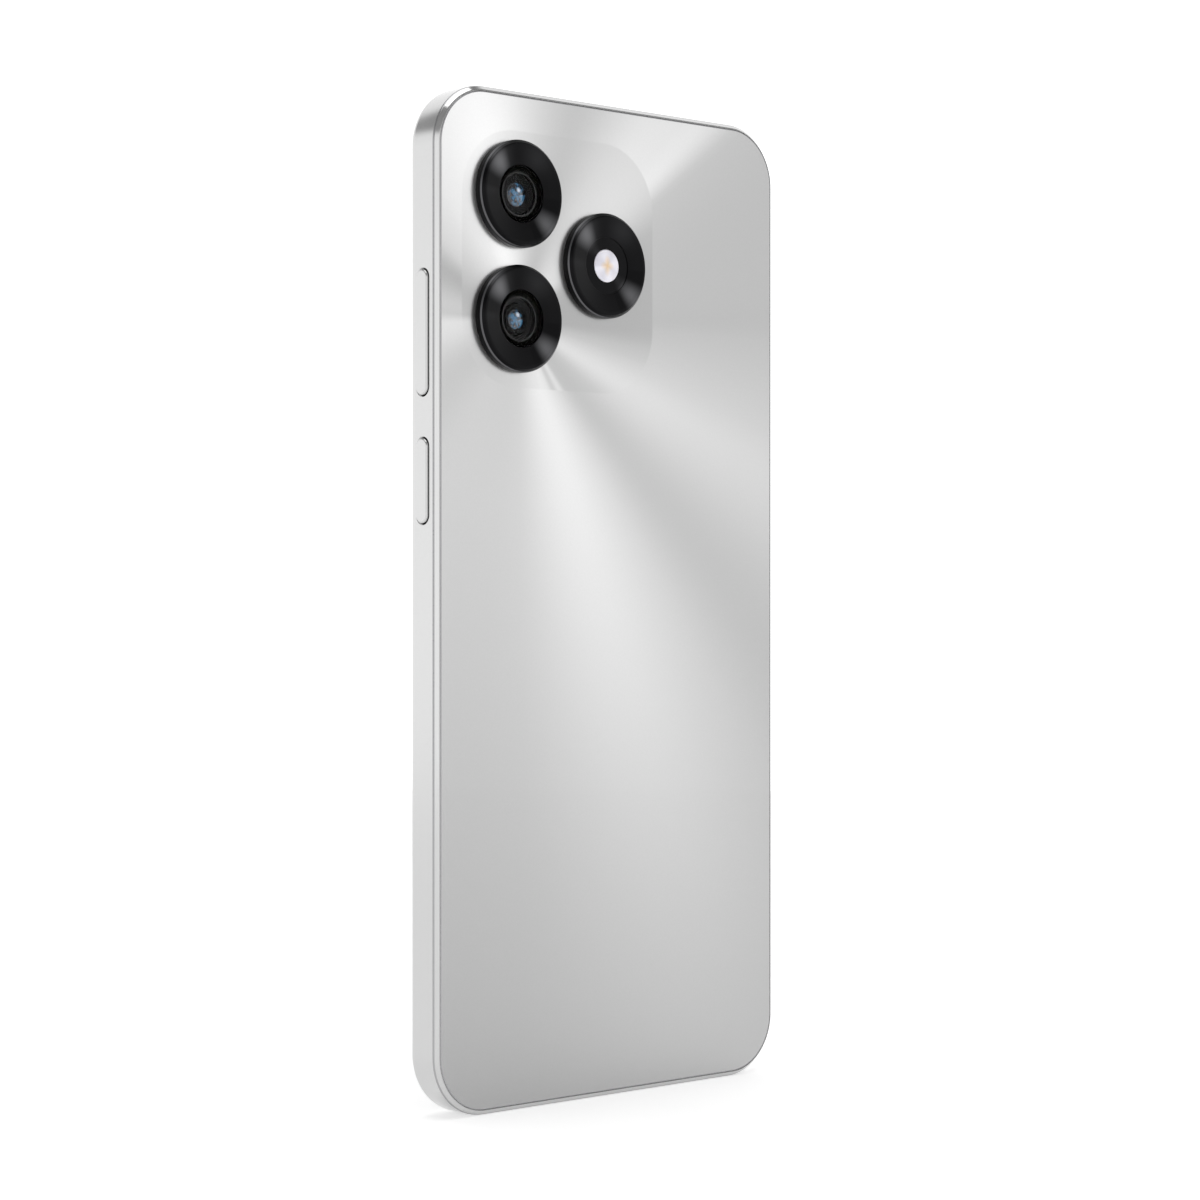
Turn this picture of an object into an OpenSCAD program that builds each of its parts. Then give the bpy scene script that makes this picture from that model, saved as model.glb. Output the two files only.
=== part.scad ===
// Slim flat-sided smartphone with a drilled bottom edge, side keys and a triple-ring camera area.
// X runs along the width, Y from the screen (-Y) to the back (+Y), Z up along the length.
// The origin is the mouth of the charging port, in the middle of the bottom edge.

/* [Body] */
// Width across the flat sides
body_w = 75.4; // [74:0.1:77]
// Length from the bottom edge to the top edge
body_h = 163.6; // [161:0.1:166]
// Thickness from the screen to the back, without the camera rings
body_t = 7.6; // [7.6:0.05:7.8]
// Radius of the four corners
corner_r = 10; // [8:0.5:12]

/* [Frame] */
// Thickness of the side wall
wall = 2.2; // [2.1:0.05:2.3]
// Radius that rounds the wall into the screen
front_round = 1.9; // [1.6:0.05:1.9]
// Bright cut edge between the wall and the back
back_chamfer = 0.7; // [0.5:0.05:0.8]
// Width of the ledge that the screen and the plate rest on, from the outside
ledge = 3.1; // [3:0.05:3.3]

/* [Sheets] */
// Thickness of the screen glass
glass_t = 0.7; // [0.6:0.05:0.7]
// Thickness of the display
panel_t = 1.15; // [0.9:0.05:1.15]
// Thickness of the metal plate behind the display
plate_t = 0.65; // [0.5:0.05:0.65]
// Thickness of the back cover
cover_t = 0.65; // [0.6:0.05:0.7]

/* [Camera rings] */
// Outer radius of each ring
ring_r = 8.65; // [8.4:0.05:8.8]
// Height of each ring above the back
ring_rise = 1.7; // [1.5:0.05:1.9]
// Side place of the two camera rings
camera_x = 21.1; // [20:0.1:22]
// Height of the upper camera ring on the back
upper_z = 146.9; // [146:0.1:148]
// Height of the lower camera ring on the back
lower_z = 126.9; // [126:0.1:128]
// Side place of the flash ring
flash_x = 2.6; // [2:0.1:3.2]
// Height of the flash ring on the back
flash_z = 136.8; // [136:0.1:137.6]

/* [Keys] */
// Width of both keys
key_w = 2.75; // [2.4:0.05:2.8]
// Height that the keys stand out of the side
key_rise = 0.35; // [0.25:0.05:0.5]
// Depth of the keys' centre line behind the middle of the thickness
key_y = 0.4; // [0.2:0.05:0.5]
// Length of the volume rocker
volume_len = 19.8; // [19:0.1:21]
// Height of the middle of the volume rocker
volume_z = 124; // [123:0.1:125]
// Length of the power key
power_len = 13.4; // [13:0.1:14]
// Height of the middle of the power key
power_z = 100.6; // [100:0.1:102]

/* [Card tray] */
// Height of the middle of the card tray
tray_z = 131; // [130:0.5:132]
// Width of the tray's body
tray_w = 10.6; // [10.4:0.1:10.6]
// Length of the tray's visible head
tray_head = 15.2; // [15.2:0.1:15.6]

/* [Bottom edge] */
// Side place of the headphone jack
jack_x = -24; // [-25:0.5:-23.5]
// Radius of the headphone jack's bore
jack_r = 1.8; // [1.76:0.01:1.8]
// Number of sound holes
sound_holes = 7; // [5:1:7]

/* [Battery] */
// Width of the battery
battery_w = 66; // [60:0.5:66]
// Height of the battery's lower end
battery_z0 = 27; // [27:0.5:30]
// Height of the battery's upper end
battery_z1 = 111.5; // [105:0.5:111.5]

/* [Hidden] */
$fn = 64;
side_x = body_w / 2;                    // outside of the flat sides
back_y = body_t / 2;                    // outside of the back cover
screen_y = -body_t / 2;                 // outside of the screen glass
mid_z = body_h / 2;
seam = 0.05;                            // joint line round each sheet
glue = 0.1;                             // thickness of the adhesive tapes
lip_u = back_chamfer + 0.1;             // inner side of the thin lip round the cover
lip_y = back_y - 0.05;                  // top of that lip, a hair under the cover
cover_y = back_y - cover_t;             // inside of the back cover
cover_seat_y = cover_y - glue;
bezel_y = screen_y + 0.3;               // front edge of the frame
glass_y = screen_y + glass_t;           // inside of the screen glass
glass_seat_y = glass_y + 0.15;
panel_y = glass_y + panel_t;            // back of the display
plate_y0 = panel_y + 0.2;
plate_y1 = plate_y0 + plate_t;          // floor that the inner parts stand on
inner_x = side_x - wall;                // inside of the side walls

// Levels of the upper board and of what is stacked on it
board_y0 = 0.4;
board_y1 = 1.2;
shield_y = 2.1;
bracket_y0 = 2.2;
bracket_y1 = 2.6;
sub_y0 = plate_y1 + 0.05;
sub_y1 = -0.35;                         // back face of the lower board
sub_x1 = 7;
sub_z1 = 25.3;
boss_r = 1.4;
screw_r = 0.6;
screw_head_r = 1.15;
upper_screws = [[-31.5, 157], [-31.5, 118], [11, 118], [-18, 157], [11.5, 157.5], [31, 157]];
lower_screws = [[-31, 22], [3.5, 22]];

// Keys: cap in the wall, flange behind it, nubs on the switches
key_gap = 0.15;
flange_x0 = inner_x + 0.25;
flange_x1 = inner_x + 0.7;
flange_more = 0.45;                     // how far the flange is wider than the cap
rocker_room = 0.35;                     // space that lets the rocker's far end rise
nub_x = inner_x - 0.15;
dome_x = inner_x - 0.45;
flex_x = dome_x - 0.3;
key_bracket_x = flex_x - 0.15;
rocker_nub = 6;                         // distance of the switches from the rocker's middle
rocker_x = inner_x - 0.4;               // the line that the rocker tips about
rocker_nose_r = 0.3;

// Card tray and the mechanism that pushes it out
tray_y0 = -0.75;
tray_y1 = 0.05;
tray_y = (tray_y0 + tray_y1) / 2;
tray_end_x = -9.75;
tray_head_t = 1.25;
tray_head_w = 2;
tray_gap = 0.15;
sim_len = 12.4;
sim_w = 9;
rod_z = tray_z + 6.6;
rod_side = 0.7;
rod_gap = 0.15;
lever_x = -7.6;
lever_z = tray_z + 1.7;
lever_w = 1;
lever_pin_r = 0.45;
reader_x0 = -34.6;
reader_x1 = -4.9;
reader_y0 = -1.05;
reader_y1 = 0.38;
seal_w = 0.5;

// Ports and drilled holes of the bottom edge
usb_w = 8.34;                           // inside of the charging port's shell
usb_h = 2.56;
usb_wall = 0.3;
usb_len = 7.25;
jack_y = 0.6;
jack_len = 12.9;
jack_w = 6.4;
jack_h = 4.5;
mic_x = -13.5;
sound_x0 = 11;
sound_pitch = 2.6;
sound_r = 0.75;
sound_y = 0.6;

// Cameras
hole_clear = 0.05;
spigot_r = ring_r - 0.65;               // part of a ring that sits in the cover's hole
ring_top_y = back_y + ring_rise;
window_r = 4.6;
window_y0 = back_y + 0.5;
window_y1 = window_y0 + 0.55;
housing_w = 10.6;
housing_y0 = -0.5;
barrel_r = 3.2;
barrel_gap = 0.15;
barrel_y0 = 0;
barrel_y1 = back_y + 0.2;
front_cam_z = 155;
sensor_x = 8;
sensor_z = 157.6;

// Vibration motor and loudspeaker
motor_x = -10;
motor_z = 18.5;
motor_r = 4;
motor_y0 = sub_y1 + 0.05;
motor_y1 = 2.3;
motor_wall = 0.25;
motor_pin_r = 0.4;
speaker_lo = [8, -1, 2.6];
speaker_hi = [33.8, 2.9, 25.5];
speaker_wall = 0.6;
speaker_mid = [20.9, 0, 14.5];

// ---- shapes that repeat -------------------------------------------------------------

// Box between two opposite corners
module block(lo, hi) {
    translate(lo) cube(hi - lo);
}

// Sheet between two depths, whose outline is drawn as (x, z)
module sheet(y0, y1) {
    translate([0, y1, 0]) rotate([90, 0, 0]) linear_extrude(y1 - y0) children();
}

// Bar between two side places, whose section is drawn as (y, z)
module bar_x(x0, x1) {
    translate([x0, 0, 0]) rotate([90, 0, 90]) linear_extrude(x1 - x0) children();
}

// Round piece along Y at (x, z)
module disc(x, z, r, y0, y1) {
    translate([x, y0, z]) rotate([-90, 0, 0]) cylinder(r = r, h = y1 - y0);
}

// Piece turned about a line along Y at (x, z), whose section is drawn as (radius, y)
module turned(x, z) {
    translate([x, 0, z]) rotate([-90, 0, 0]) rotate_extrude() children();
}

// Rectangle with round corners, centred on the body, set in from its outline
module outline(inset) {
    w = body_w - 2 * inset;
    h = body_h - 2 * inset;
    r = corner_r - inset;
    translate([0, mid_z]) {
        square([w - 2 * r, h], center = true);
        square([w, h - 2 * r], center = true);
        for (sx = [-1, 1], sz = [-1, 1])
            translate([sx * (w / 2 - r), sz * (h / 2 - r)]) circle(r = r);
    }
}

// Slot shape with round ends, its length along the second axis
module slot(len, wid) {
    square([wid, len - wid], center = true);
    for (s = [-1, 1])
        translate([0, s * (len - wid) / 2]) circle(d = wid);
}

// The space inside the side walls, kept clear of them by a gap
module inside_walls(gap) {
    sheet(screen_y, back_y) outline(wall + gap);
}

// Carries a section, drawn as (distance from the corner's centre, y), round the body
module round_body() {
    straight_w = body_w - 2 * corner_r;
    straight_h = body_h - 2 * corner_r;
    for (side = [-1, 1]) {
        mirror([side < 0 ? 1 : 0, 0, 0])
            translate([side_x - corner_r, 0, corner_r])
                linear_extrude(straight_h) children();
        translate([0, 0, side < 0 ? 0 : body_h])
            mirror([0, 0, side < 0 ? 0 : 1])
                translate([-straight_w / 2, 0, corner_r])
                    rotate([0, 90, 0]) linear_extrude(straight_w) children();
    }
    for (k = [0 : 3]) {
        sx = (k == 0 || k == 3) ? 1 : -1;
        sz = k < 2 ? -1 : 1;
        translate([sx * straight_w / 2, 0, mid_z + sz * straight_h / 2])
            rotate([0, 90 * k, 0]) rotate([-90, 0, 0])
                rotate_extrude(angle = 90) children();
    }
}

// Solid slab whose rim has the given section, from the corner's centre outwards
module slab(y0, y1) {
    round_body() children();
    block([-side_x + corner_r, y0, corner_r], [side_x - corner_r, y1, body_h - corner_r]);
}

// Round piece along Y at each screw of one board
module at_screws(places, r, y0, y1) {
    for (p = places)
        disc(p[0], p[1], r, y0, y1);
}

// ---- housing ------------------------------------------------------------------------

// Section of the frame: flat side, rounded front, cut back edge, and the two ledges
module frame_section() {
    turn = [for (a = [180 : 10 : 270])
        [front_round + front_round * cos(a), bezel_y + front_round + front_round * sin(a)]];
    rim = concat(turn, [
        [front_round, glass_seat_y], [ledge, glass_seat_y], [ledge, plate_y1],
        [wall, plate_y1], [wall, cover_seat_y], [lip_u, cover_seat_y], [lip_u, lip_y],
        [back_chamfer, lip_y], [0, lip_y - back_chamfer]]);
    polygon([for (p = rim) [corner_r - p[0], p[1]]]);
}

// Window for one key: a slot through the wall and a wider pocket inside
module key_window(z, len, room) {
    translate([0, key_y, z]) {
        bar_x(flange_x1, side_x + 1) slot(len + 2 * key_gap, key_w + 2 * key_gap);
        bar_x(inner_x - 0.5, flange_x1 + room)
            slot(len + 2 * (flange_more + key_gap), key_w + 2 * (flange_more + key_gap));
    }
}

// Way in for the card tray: a recess for its head, a slot for its body, a way for the pin
module tray_window() {
    translate([0, tray_y, tray_z])
        bar_x(-side_x - 1, -side_x + tray_head_t + 0.05)
            slot(tray_head + 0.2, tray_head_w + 0.2);
    grow = seal_w + 0.05;
    block([-side_x, tray_y0 - grow, tray_z - tray_w / 2 - grow],
          [-inner_x + 1.2, tray_y1 + grow, tray_z + tray_w / 2 + grow]);
    block([-side_x + tray_head_t, tray_y - rod_side / 2 - rod_gap, rod_z - rod_side / 2 - rod_gap],
          [-inner_x + 1.2, tray_y + rod_side / 2 + rod_gap, rod_z + rod_side / 2 + rod_gap]);
}

module side_frame() {
    color("silver") difference() {
        round_body() frame_section();
        key_window(volume_z, volume_len, rocker_room);
        key_window(power_z, power_len, 0.05);
        tray_window();
        translate([0, 0, -1]) linear_extrude(ledge + 2) {
            rotate(90) slot(usb_w + 2 * usb_wall + 0.1, usb_h + 2 * usb_wall + 0.1);
            translate([jack_x, jack_y]) circle(r = jack_r + 0.1);
            translate([mic_x, 0.15]) circle(r = 0.5);
            for (i = [0 : sound_holes - 1])
                translate([sound_x0 + i * sound_pitch, sound_y]) circle(r = sound_r);
        }
        block([jack_x - jack_w / 2 - 0.1, plate_y0 - 0.1, wall], [jack_x + jack_w / 2 + 0.1, cover_y, ledge + 1]);
        translate([mic_x, -0.1, body_h - ledge - 1]) cylinder(r = 0.5, h = ledge + 2);
        block([-6, bezel_y - 0.1, body_h - ledge - 0.1], [6, plate_y1 + 0.1, body_h - 1.6]);
    }
}

// Metal plate across the frame, with battery ribs and screw bosses
module mid_plate() {
    color("dimgray") difference() {
        union() {
            sheet(plate_y0, plate_y1) outline(ledge + 0.02);
            for (s = [-1, 1])
                block([s * (battery_w / 2 + 0.55) - 0.35, plate_y1, battery_z0 + 3],
                      [s * (battery_w / 2 + 0.55) + 0.35, plate_y1 + 2.6, battery_z1 - 4]);
            at_screws(upper_screws, boss_r, plate_y1, bracket_y0);
            at_screws(lower_screws, boss_r, plate_y1, sub_y0);
        }
        at_screws(upper_screws, screw_r + 0.02, -0.6, bracket_y0 + 1);
        at_screws(lower_screws, screw_r + 0.02, plate_y0 - 1, sub_y0 + 1);
        block([-5, plate_y0 - 1, 0], [5, plate_y1 + 1, 8.2]);
        block([jack_x - 3.6, plate_y0 - 1, 0], [jack_x + 3.6, plate_y1 + 1, 16]);
        block([-20.5, plate_y0 - 1, 25.5], [-15, plate_y1 + 1, 26.6]);
        block([-3, plate_y0 - 1, front_cam_z - 3], [3, plate_y1 + 1, front_cam_z + 3]);
        block([-6, plate_y0 - 1, body_h - ledge - 1], [6, plate_y1 + 1, body_h]);
        disc(sensor_x, sensor_z, 1, plate_y0 - 1, plate_y1 + 1);
    }
}

// Back cover with a softly broken edge and three holes for the rings
module back_cover() {
    r = corner_r - lip_u - seam;
    edge = 0.12;
    color("lightgray") difference() {
        slab(cover_y, back_y)
            polygon([[0, cover_y], [r, cover_y], [r, back_y - edge], [r - edge, back_y], [0, back_y]]);
        for (p = ring_places())
            disc(p[0], p[1], spigot_r + hole_clear, cover_y - 1, back_y + 1);
    }
}

function ring_places() = [[camera_x, upper_z], [camera_x, lower_z], [flash_x, flash_z]];

module back_adhesive() {
    color("black") sheet(cover_seat_y, cover_y) difference() {
        outline(lip_u + 0.15);
        outline(wall - 0.1);
    }
}

module front_glass() {
    r = corner_r - front_round - seam;
    round = 0.4;
    arc = [for (a = [0 : 15 : 90])
        [r - round + round * cos(a), screen_y + round - round * sin(a)]];
    color("black") slab(screen_y, glass_y)
        polygon(concat([[0, glass_y], [r, glass_y]], arc, [[0, screen_y]]));
}

module display_adhesive() {
    color("black") sheet(glass_y, glass_seat_y) difference() {
        outline(front_round + 0.2);
        outline(ledge - 0.1);
    }
}

module display_panel() {
    color("black") difference() {
        sheet(glass_y, panel_y) outline(ledge + 0.2);
        disc(0, front_cam_z, 2.2, glass_y - 1, panel_y + 1);
    }
}

// Flex that leaves the display, passes the plate and folds onto the lower board
module display_flex() {
    t = 0.15;
    fold_z = 26.1;
    color("orange") {
        block([-20.3, panel_y, 12], [-15.2, panel_y + t, fold_z]);
        block([-20.3, panel_y, fold_z - t], [-15.2, sub_y1 + t + 0.02, fold_z]);
        block([-20.3, sub_y1 + 0.02, 20], [-15.2, sub_y1 + t + 0.02, fold_z]);
    }
}

// ---- cameras and flash --------------------------------------------------------------

// Ring with a turned well; the bore behind the window is as wide as given
module camera_ring(x, z, bore, floor_y) {
    color("black") turned(x, z) polygon([
        [bore, cover_y], [spigot_r, cover_y], [spigot_r, back_y], [ring_r, back_y],
        [ring_r, ring_top_y - 0.6], [ring_r - 0.55, ring_top_y], [ring_r - 0.95, ring_top_y],
        [window_r + 0.05, window_y1 + 0.1], [window_r + 0.05, floor_y], [bore, floor_y]]);
}

module upper_camera_ring() {
    camera_ring(camera_x, upper_z, barrel_r + 0.4, window_y0);
}

module lower_camera_ring() {
    camera_ring(camera_x, lower_z, barrel_r + 0.4, window_y0);
}

module flash_ring() {
    camera_ring(flash_x, flash_z, 2.75, window_y1);
}

module upper_lens_glass() {
    color("black") disc(camera_x, upper_z, window_r, window_y0, window_y1);
}

module lower_lens_glass() {
    color("black") disc(camera_x, lower_z, window_r, window_y0, window_y1);
}

// Diffuser of the flash, a shallow dome with a hollow for the light
module flash_lens() {
    color("whitesmoke") turned(flash_x, flash_z) polygon([
        [0, 3.6], [1.6, 3.6], [1.9, cover_y], [2.7, cover_y], [2.7, window_y1],
        [2.3, window_y1 + 0.12], [1.4, window_y1 + 0.2], [0, window_y1 + 0.22]]);
}

module flash_led() {
    color("gold") {
        block([flash_x - 1.6, board_y1, flash_z - 1.6], [flash_x + 1.6, board_y1 + 0.5, flash_z + 1.6]);
        block([flash_x - 0.7, board_y1, flash_z - 0.7], [flash_x + 0.7, board_y1 + 0.7, flash_z + 0.7]);
    }
}

// Foam rings that seal the cameras against the cover
module camera_gaskets() {
    color("black") {
        turned(camera_x, upper_z) translate([3.7, 3.06]) square([1.1, 0.08]);
        turned(camera_x, lower_z) translate([2.7, 2.66]) square([1.1, cover_y - 2.67]);
    }
}

// Housing of the main camera, bored for the barrel that moves to focus
module main_camera_housing() {
    w = housing_w / 2;
    color("dimgray") difference() {
        block([camera_x - w, housing_y0, upper_z - w], [camera_x + w, 3.05, upper_z + w]);
        disc(camera_x, upper_z, barrel_r + barrel_gap, barrel_y0 - 0.1, 4);
        block([camera_x - 3, housing_y0 - 1, upper_z - 2.4], [camera_x + 3, 0, upper_z + 2.4]);
    }
}

module main_camera_sensor() {
    w = housing_w / 2;
    color("darkgreen") {
        block([camera_x - w, plate_y1 + 0.05, upper_z - w], [camera_x + w, housing_y0, upper_z + w]);
        block([camera_x - 2.8, housing_y0, upper_z - 2.2], [camera_x + 2.8, housing_y0 + 0.25, upper_z + 2.2]);
    }
}

// Lens barrel with its glass, narrowing to a small front opening
module lens_barrel() {
    color("black") turned(camera_x, upper_z) polygon([
        [0, barrel_y0 + 0.3], [1.9, barrel_y0 + 0.3], [1.9, barrel_y0], [barrel_r, barrel_y0],
        [barrel_r, barrel_y1 - 0.3], [barrel_r - 0.2, barrel_y1], [2.4, barrel_y1],
        [1.6, barrel_y1 - 0.5], [0.8, barrel_y1 - 0.32], [0, barrel_y1 - 0.26]]);
}

// Fixed-focus second camera
module second_camera() {
    color("black") {
        block([camera_x - 3.5, plate_y1 + 0.05, lower_z - 3.5], [camera_x + 3.5, 2.6, lower_z + 3.5]);
        turned(camera_x, lower_z) polygon([
            [0, 2.5], [2.4, 2.5], [2.4, 3.8], [1.9, 3.8], [1.3, 3.4], [0.7, 3.5], [0, 3.54]]);
    }
}

module front_camera() {
    color("black") {
        block([-2.7, plate_y0 + 0.1, front_cam_z - 2.7], [2.7, 0.3, front_cam_z + 2.7]);
        disc(0, front_cam_z, 1.9, glass_y + 0.05, 0);
    }
}

// ---- keys ---------------------------------------------------------------------------

// Key with its flange; the cap's outer edge is broken
module key(z, len) {
    edge = 0.15;
    translate([0, key_y, z]) {
        bar_x(flange_x1 - 0.05, side_x + key_rise - edge) slot(len, key_w);
        bar_x(side_x + key_rise - 2 * edge, side_x + key_rise) slot(len - 2 * edge, key_w - 2 * edge);
        bar_x(flange_x0, flange_x1 - 0.05) slot(len + 2 * flange_more, key_w + 2 * flange_more);
    }
}

// Nub that presses one dome switch
module nub(z) {
    translate([nub_x, key_y, z]) rotate([0, 90, 0]) cylinder(r = 0.6, h = flange_x0 - nub_x + 0.1);
}

// The rocker tips on a round nose behind its middle
module volume_rocker() {
    color("silver") {
        key(volume_z, volume_len);
        for (s = [-1, 1])
            nub(volume_z + s * rocker_nub);
        disc(rocker_x, volume_z, rocker_nose_r, key_y - 1, key_y + 1);
        block([rocker_x, key_y - 1, volume_z - rocker_nose_r],
              [flange_x0 + 0.1, key_y + 1, volume_z + rocker_nose_r]);
    }
}

module power_button() {
    color("silver") {
        difference() {
            key(power_z, power_len);
            block([flange_x0 + 0.2, key_y - 0.95, power_z - 5], [side_x + 0.1, key_y + 0.95, power_z + 5]);
        }
        nub(power_z);
    }
}

module fingerprint_sensor() {
    color("dimgray")
        block([side_x - 0.5, key_y - 0.95, power_z - 5], [side_x + 0.1, key_y + 0.95, power_z + 5]);
}

function switch_places() = [volume_z - rocker_nub, volume_z + rocker_nub, power_z];

module dome_switches() {
    color("silver")
        for (z = switch_places())
            translate([flex_x, key_y, z]) rotate([0, 90, 0])
                cylinder(r1 = 1.35, r2 = 0.9, h = dome_x - flex_x);
}

module side_key_flex() {
    color("orange")
        block([key_bracket_x, key_y - 1.4, power_z - 5], [flex_x, key_y + 1.4, volume_z + 9]);
}

module key_bracket() {
    color("silver")
        block([key_bracket_x - 0.3, plate_y1, power_z - 7], [key_bracket_x, key_y + 1.5, volume_z + 11]);
}

// ---- card tray ----------------------------------------------------------------------

module sim_tray() {
    bar = 0.6;
    body_x0 = -side_x + tray_head_t;
    color("silver") difference() {
        union() {
            translate([0, tray_y, tray_z])
                bar_x(-side_x, body_x0) slot(tray_head, tray_head_w);
            block([body_x0, tray_y0, tray_z - tray_w / 2], [tray_end_x, tray_y1, tray_z + tray_w / 2]);
        }
        for (i = [0, 1])
            block([tray_end_x - (i + 1) * (sim_len + bar), tray_y0 + 0.12, tray_z - sim_w / 2],
                  [tray_end_x - bar - i * (sim_len + bar), tray_y1 + 1, tray_z + sim_w / 2]);
        for (i = [0, 1])
            block([tray_end_x - (i + 1) * (sim_len + bar) + 1, tray_y0 - 1, tray_z - sim_w / 2 + 0.6],
                  [tray_end_x - bar - i * (sim_len + bar) - 1, tray_y1 + 1, tray_z + sim_w / 2 - 0.6]);
        translate([-side_x - 1, tray_y, rod_z]) rotate([0, 90, 0]) cylinder(r = 0.45, h = 4);
    }
}

module tray_seal() {
    x0 = -side_x + tray_head_t + 0.1;
    color("black") difference() {
        block([x0, tray_y0 - seal_w + 0.1, tray_z - tray_w / 2 - seal_w + 0.1],
              [x0 + 0.7, tray_y1 + seal_w - 0.1, tray_z + tray_w / 2 + seal_w - 0.1]);
        block([x0 - 1, tray_y0, tray_z - tray_w / 2], [x0 + 2, tray_y1, tray_z + tray_w / 2]);
    }
}

// Stamped box that guides the tray, the rod and the lever
module card_reader() {
    cavity_y0 = tray_y0 - tray_gap;
    cavity_y1 = tray_y1 + tray_gap;
    color("silver") difference() {
        block([reader_x0, reader_y0, tray_z - 6.4], [reader_x1, reader_y1, tray_z + 7.7]);
        block([reader_x0 - 1, cavity_y0, tray_z - tray_w / 2 - tray_gap],
              [-9.2, cavity_y1, tray_z + tray_w / 2 + tray_gap]);
        block([reader_x0 - 1, cavity_y0, rod_z - rod_side / 2 - rod_gap],
              [-9.2, cavity_y1, rod_z + rod_side / 2 + rod_gap]);
        block([-9.3, cavity_y0, tray_z - 3.6], [reader_x1 - 0.3, cavity_y1, tray_z + 7.4]);
    }
}

module eject_rod() {
    color("gray")
        block([-side_x + tray_head_t + 0.35, tray_y - rod_side / 2, rod_z - rod_side / 2],
              [lever_x - lever_w / 2 - 0.15, tray_y + rod_side / 2, rod_z + rod_side / 2]);
}

// Lever that turns the rod's push into a pull on the tray
module eject_lever() {
    low_z = tray_z - 2.2;
    high_z = tray_z + 6.6;
    color("gray") difference() {
        union() {
            block([lever_x - lever_w / 2, tray_y - 0.3, low_z], [lever_x + lever_w / 2, tray_y + 0.3, high_z]);
            disc(lever_x, low_z, lever_w / 2, tray_y - 0.3, tray_y + 0.3);
            disc(lever_x, high_z, lever_w / 2, tray_y - 0.3, tray_y + 0.3);
            disc(lever_x, lever_z, 1, tray_y - 0.3, tray_y + 0.3);
        }
        disc(lever_x, lever_z, lever_pin_r + 0.05, tray_y - 1, tray_y + 1);
    }
}

module lever_pin() {
    color("silver") disc(lever_x, lever_z, lever_pin_r, tray_y0 - tray_gap, tray_y1 + tray_gap);
}

// ---- upper electronics --------------------------------------------------------------

module main_board() {
    color("darkgreen") difference() {
        intersection() {
            inside_walls(0.6);
            union() {
                block([-33.8, board_y0, 113.5], [14, board_y1, 160.8]);
                block([13, board_y0, 153.8], [33.8, board_y1, 160.8]);
            }
        }
        at_screws(upper_screws, boss_r + 0.1, 0, 2);
    }
}

module back_shields() {
    color("silver") {
        block([-29.5, board_y1, 140.5], [-2.5, shield_y, 153.5]);
        block([-29.5, board_y1, 122], [-2.5, shield_y, 138.5]);
        block([-0.5, board_y1, 142], [9, shield_y, 152]);
    }
}

module front_shield() {
    color("silver") block([-30, plate_y1 + 0.15, 140.5], [-4, board_y0, 153.5]);
}

// Plastic bracket that carries the antennas and holds the board down
module upper_bracket() {
    color("black") difference() {
        intersection() {
            inside_walls(0.6);
            union() {
                block([-33.8, bracket_y0, 114], [13.6, bracket_y1, 160.2]);
                block([13, bracket_y0, 154], [33.4, bracket_y1, 160.2]);
            }
        }
        at_screws(upper_screws, screw_r + 0.05, 0, 4);
        disc(flash_x, flash_z, 3.5, 0, 4);
        block([-0.6, 0, 110], [8, 4, 121.5]);
        block([-22.5, 0, 110], [-11.5, 4, 119]);
    }
}

module earpiece() {
    color("dimgray") block([-6, plate_y1 + 0.1, front_cam_z + 2.9], [6, 0.3, 161.2]);
}

module earpiece_mesh() {
    color("dimgray") block([-5.9, bezel_y + 0.05, body_h - front_round], [5.9, bezel_y + 0.3, body_h - 1.62]);
}

module light_sensor() {
    color("black")
        block([sensor_x - 1.4, plate_y1 + 0.1, sensor_z - 1.2], [sensor_x + 1.4, board_y0, sensor_z + 1.2]);
}

module top_microphone() {
    color("silver") block([mic_x - 1.7, board_y0 - 1, 157.8], [mic_x + 1.7, board_y0, 160.4]);
}

// ---- battery, flexes and cable ------------------------------------------------------

module battery() {
    edge = 0.5;
    y1 = cover_y - 0.3;
    y0 = plate_y1 + glue;
    color("dimgray") {
        block([-battery_w / 2 + edge, y0, battery_z0], [battery_w / 2 - edge, y1, battery_z1]);
        block([-battery_w / 2, y0 + edge, battery_z0], [battery_w / 2, y1 - edge, battery_z1]);
    }
}

module battery_adhesive() {
    color("whitesmoke")
        for (x = [-18, 18])
            block([x - 8, plate_y1, battery_z0 + 8], [x + 8, plate_y1 + glue, battery_z1 - 8]);
}

module battery_lead() {
    color("orange") {
        block([-20, board_y1 + 0.15, battery_z1], [-14, board_y1 + 0.3, 118.5]);
        block([-21, board_y1, 115.2], [-13, board_y1 + 0.15, 118.5]);
        block([-21, board_y1 + 0.3, 115.2], [-13, board_y1 + 0.9, 118.5]);
    }
}

// Flat cable from the lower board over the battery to the upper board
module main_flex() {
    t = 0.14;
    over_y = cover_y - 0.25;
    path = [[sub_y1 + 0.9, 15], [sub_y1 + 0.9, battery_z0 - 2.4], [over_y, battery_z0 - 0.9],
        [over_y, battery_z1 + 0.9], [board_y1 + 0.7, battery_z1 + 2.5], [board_y1 + 0.7, 120.5]];
    far = len(path) - 1;
    color("orange") bar_x(0, 7.4)
        polygon(concat(path, [for (i = [far : -1 : 0]) path[i] + [t, 0]]));
    color("black") {
        block([0.2, sub_y1, 15.5], [6.6, sub_y1 + 0.9, 19]);
        block([0.2, board_y1, 116.5], [7.2, board_y1 + 0.7, 120]);
    }
}

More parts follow.
